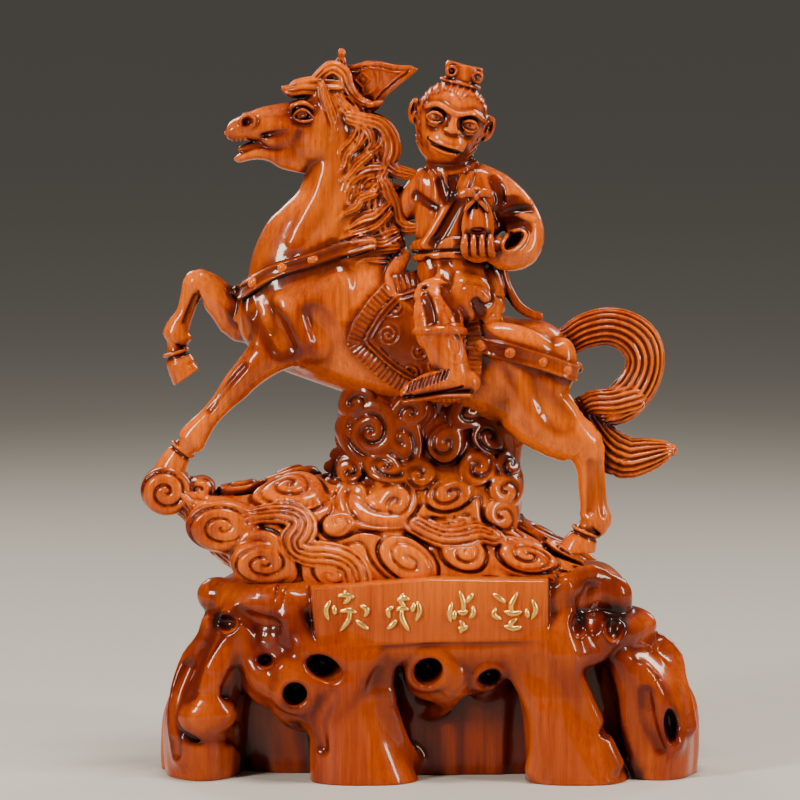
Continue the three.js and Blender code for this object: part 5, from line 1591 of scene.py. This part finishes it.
DABS = [
  [(-0.62, 0.46), (-0.80, 0.0), (-0.66, -0.52)], [(-0.52, 0.35), (-0.42, -0.12)],
  [(-0.05, 0.95), (0.12, 0.55), (-0.12, 0.30)], [(-0.30, 0.66), (0.05, 0.74), (0.42, 0.60)],
  [(0.05, 0.22), (0.14, -0.30), (-0.18, -0.95)], [(-0.28, 0.02), (0.10, 0.12), (0.44, -0.02)],
  [(0.34, -0.38), (0.58, -0.62), (0.86, -0.84)], [(0.52, 0.30), (0.82, 0.10), (0.72, -0.28)],
]
for number, (left, right) in enumerate(GROUPS):
    wide, tall = (right - left) * 0.27, 11.5
    cx, cz = ((left + right) / 2 - MIDDLE_COLUMN) * COLUMN_MM, 95.4
    for dab in DABS:
        flip = -1 if number % 2 else 1
        lean, shift = chance.uniform(-0.12, 0.12), chance.uniform(-0.09, 0.09)
        marks = [(flip * u + lean * v, (v if number < 2 else -v) + shift) for u, v in dab]
        gilt_stroke([(cx + wide * across, cz + tall * up) for across, up in marks])
gilded = grown(
    "gilded_strokes", gilt_points, gilt_lines, strokes.close(tube.outputs[0], burnished_gold()),
    {"Thickness": 0.0016}
)
settle(gilded, bpy.data.materials["burnished_gold"], stands_for_block=False)


# The studio: a pale paper floor, warm softboxes at the left, the right and above, two more behind, and
# the camera at the photo's angle.
FLOOR = (0.50, 0.49, 0.475, 1)
floor_mesh = bpy.data.meshes.new("floor")
FAR_EDGE = 30.0
CORNERS = [(-1, -1), (1, -1), (1, 1), (-1, 1)]
floor_mesh.from_pydata([(FAR_EDGE * u, FAR_EDGE * v, 0) for u, v in CORNERS], [], [(0, 1, 2, 3)])
floor = bpy.data.objects.new("floor", floor_mesh)
bpy.context.scene.collection.objects.link(floor)
paper, shade, skin = new_material("pale_paper")
grain = shade.node("ShaderNodeTexNoise", {}, {"Scale": 300.0, "Detail": 3.0})
tone = shade.blend(grain * 0.12, FLOOR, (0.43, 0.42, 0.405, 1))
shade.tree.links.new(tone.socket, skin.inputs["Base Color"])
skin.inputs["Roughness"].default_value = 0.6
floor_mesh.materials.append(paper)
world = bpy.data.worlds.new("studio")
bpy.context.scene.world = world
world.use_nodes = True
world.node_tree.nodes["Background"].inputs["Color"].default_value = (0.96, 0.9, 0.8, 1)
world.node_tree.nodes["Background"].inputs["Strength"].default_value = 0.12
AIM = Vector((-0.0113, 0, 0.2048))
SOFTBOXES = [  # place, width, height, watts
  [(-0.95, -0.85, 0.75), 0.2, 0.48, 22],
  [(1.05, -0.55, 0.5), 0.13, 0.56, 11],
  [(0.1, -0.25, 1.35), 0.4, 0.24, 17],
  [(-0.6, 1.0, 0.9), 0.3, 0.6, 7],
  [(0.8, 0.9, 0.8), 0.3, 0.6, 7],
]
for number, (place, wide, tall, watts) in enumerate(SOFTBOXES):
    lamp = bpy.data.lights.new(f"softbox_{number}", "AREA")
    lamp.color = (1.0, 0.9, 0.76)
    lamp.shape, lamp.size, lamp.size_y, lamp.energy = "RECTANGLE", wide, tall, watts
    box = bpy.data.objects.new(lamp.name, lamp)
    bpy.context.scene.collection.objects.link(box)
    box.location = place
    box.rotation_euler = (AIM - Vector(place)).to_track_quat("-Z", "Y").to_euler()
camera = bpy.data.objects.new("camera", bpy.data.cameras.new("camera"))
bpy.context.scene.collection.objects.link(camera)
bpy.context.scene.camera = camera
camera.data.sensor_width = 36
camera.data.lens = 245.5
camera.data.clip_end = 50
AWAY, ELEVATION = 3.0, math.radians(6)
camera.location = AIM + AWAY * Vector((0, -math.cos(ELEVATION), math.sin(ELEVATION)))
camera.rotation_euler = (AIM - camera.location).to_track_quat("-Z", "Y").to_euler()
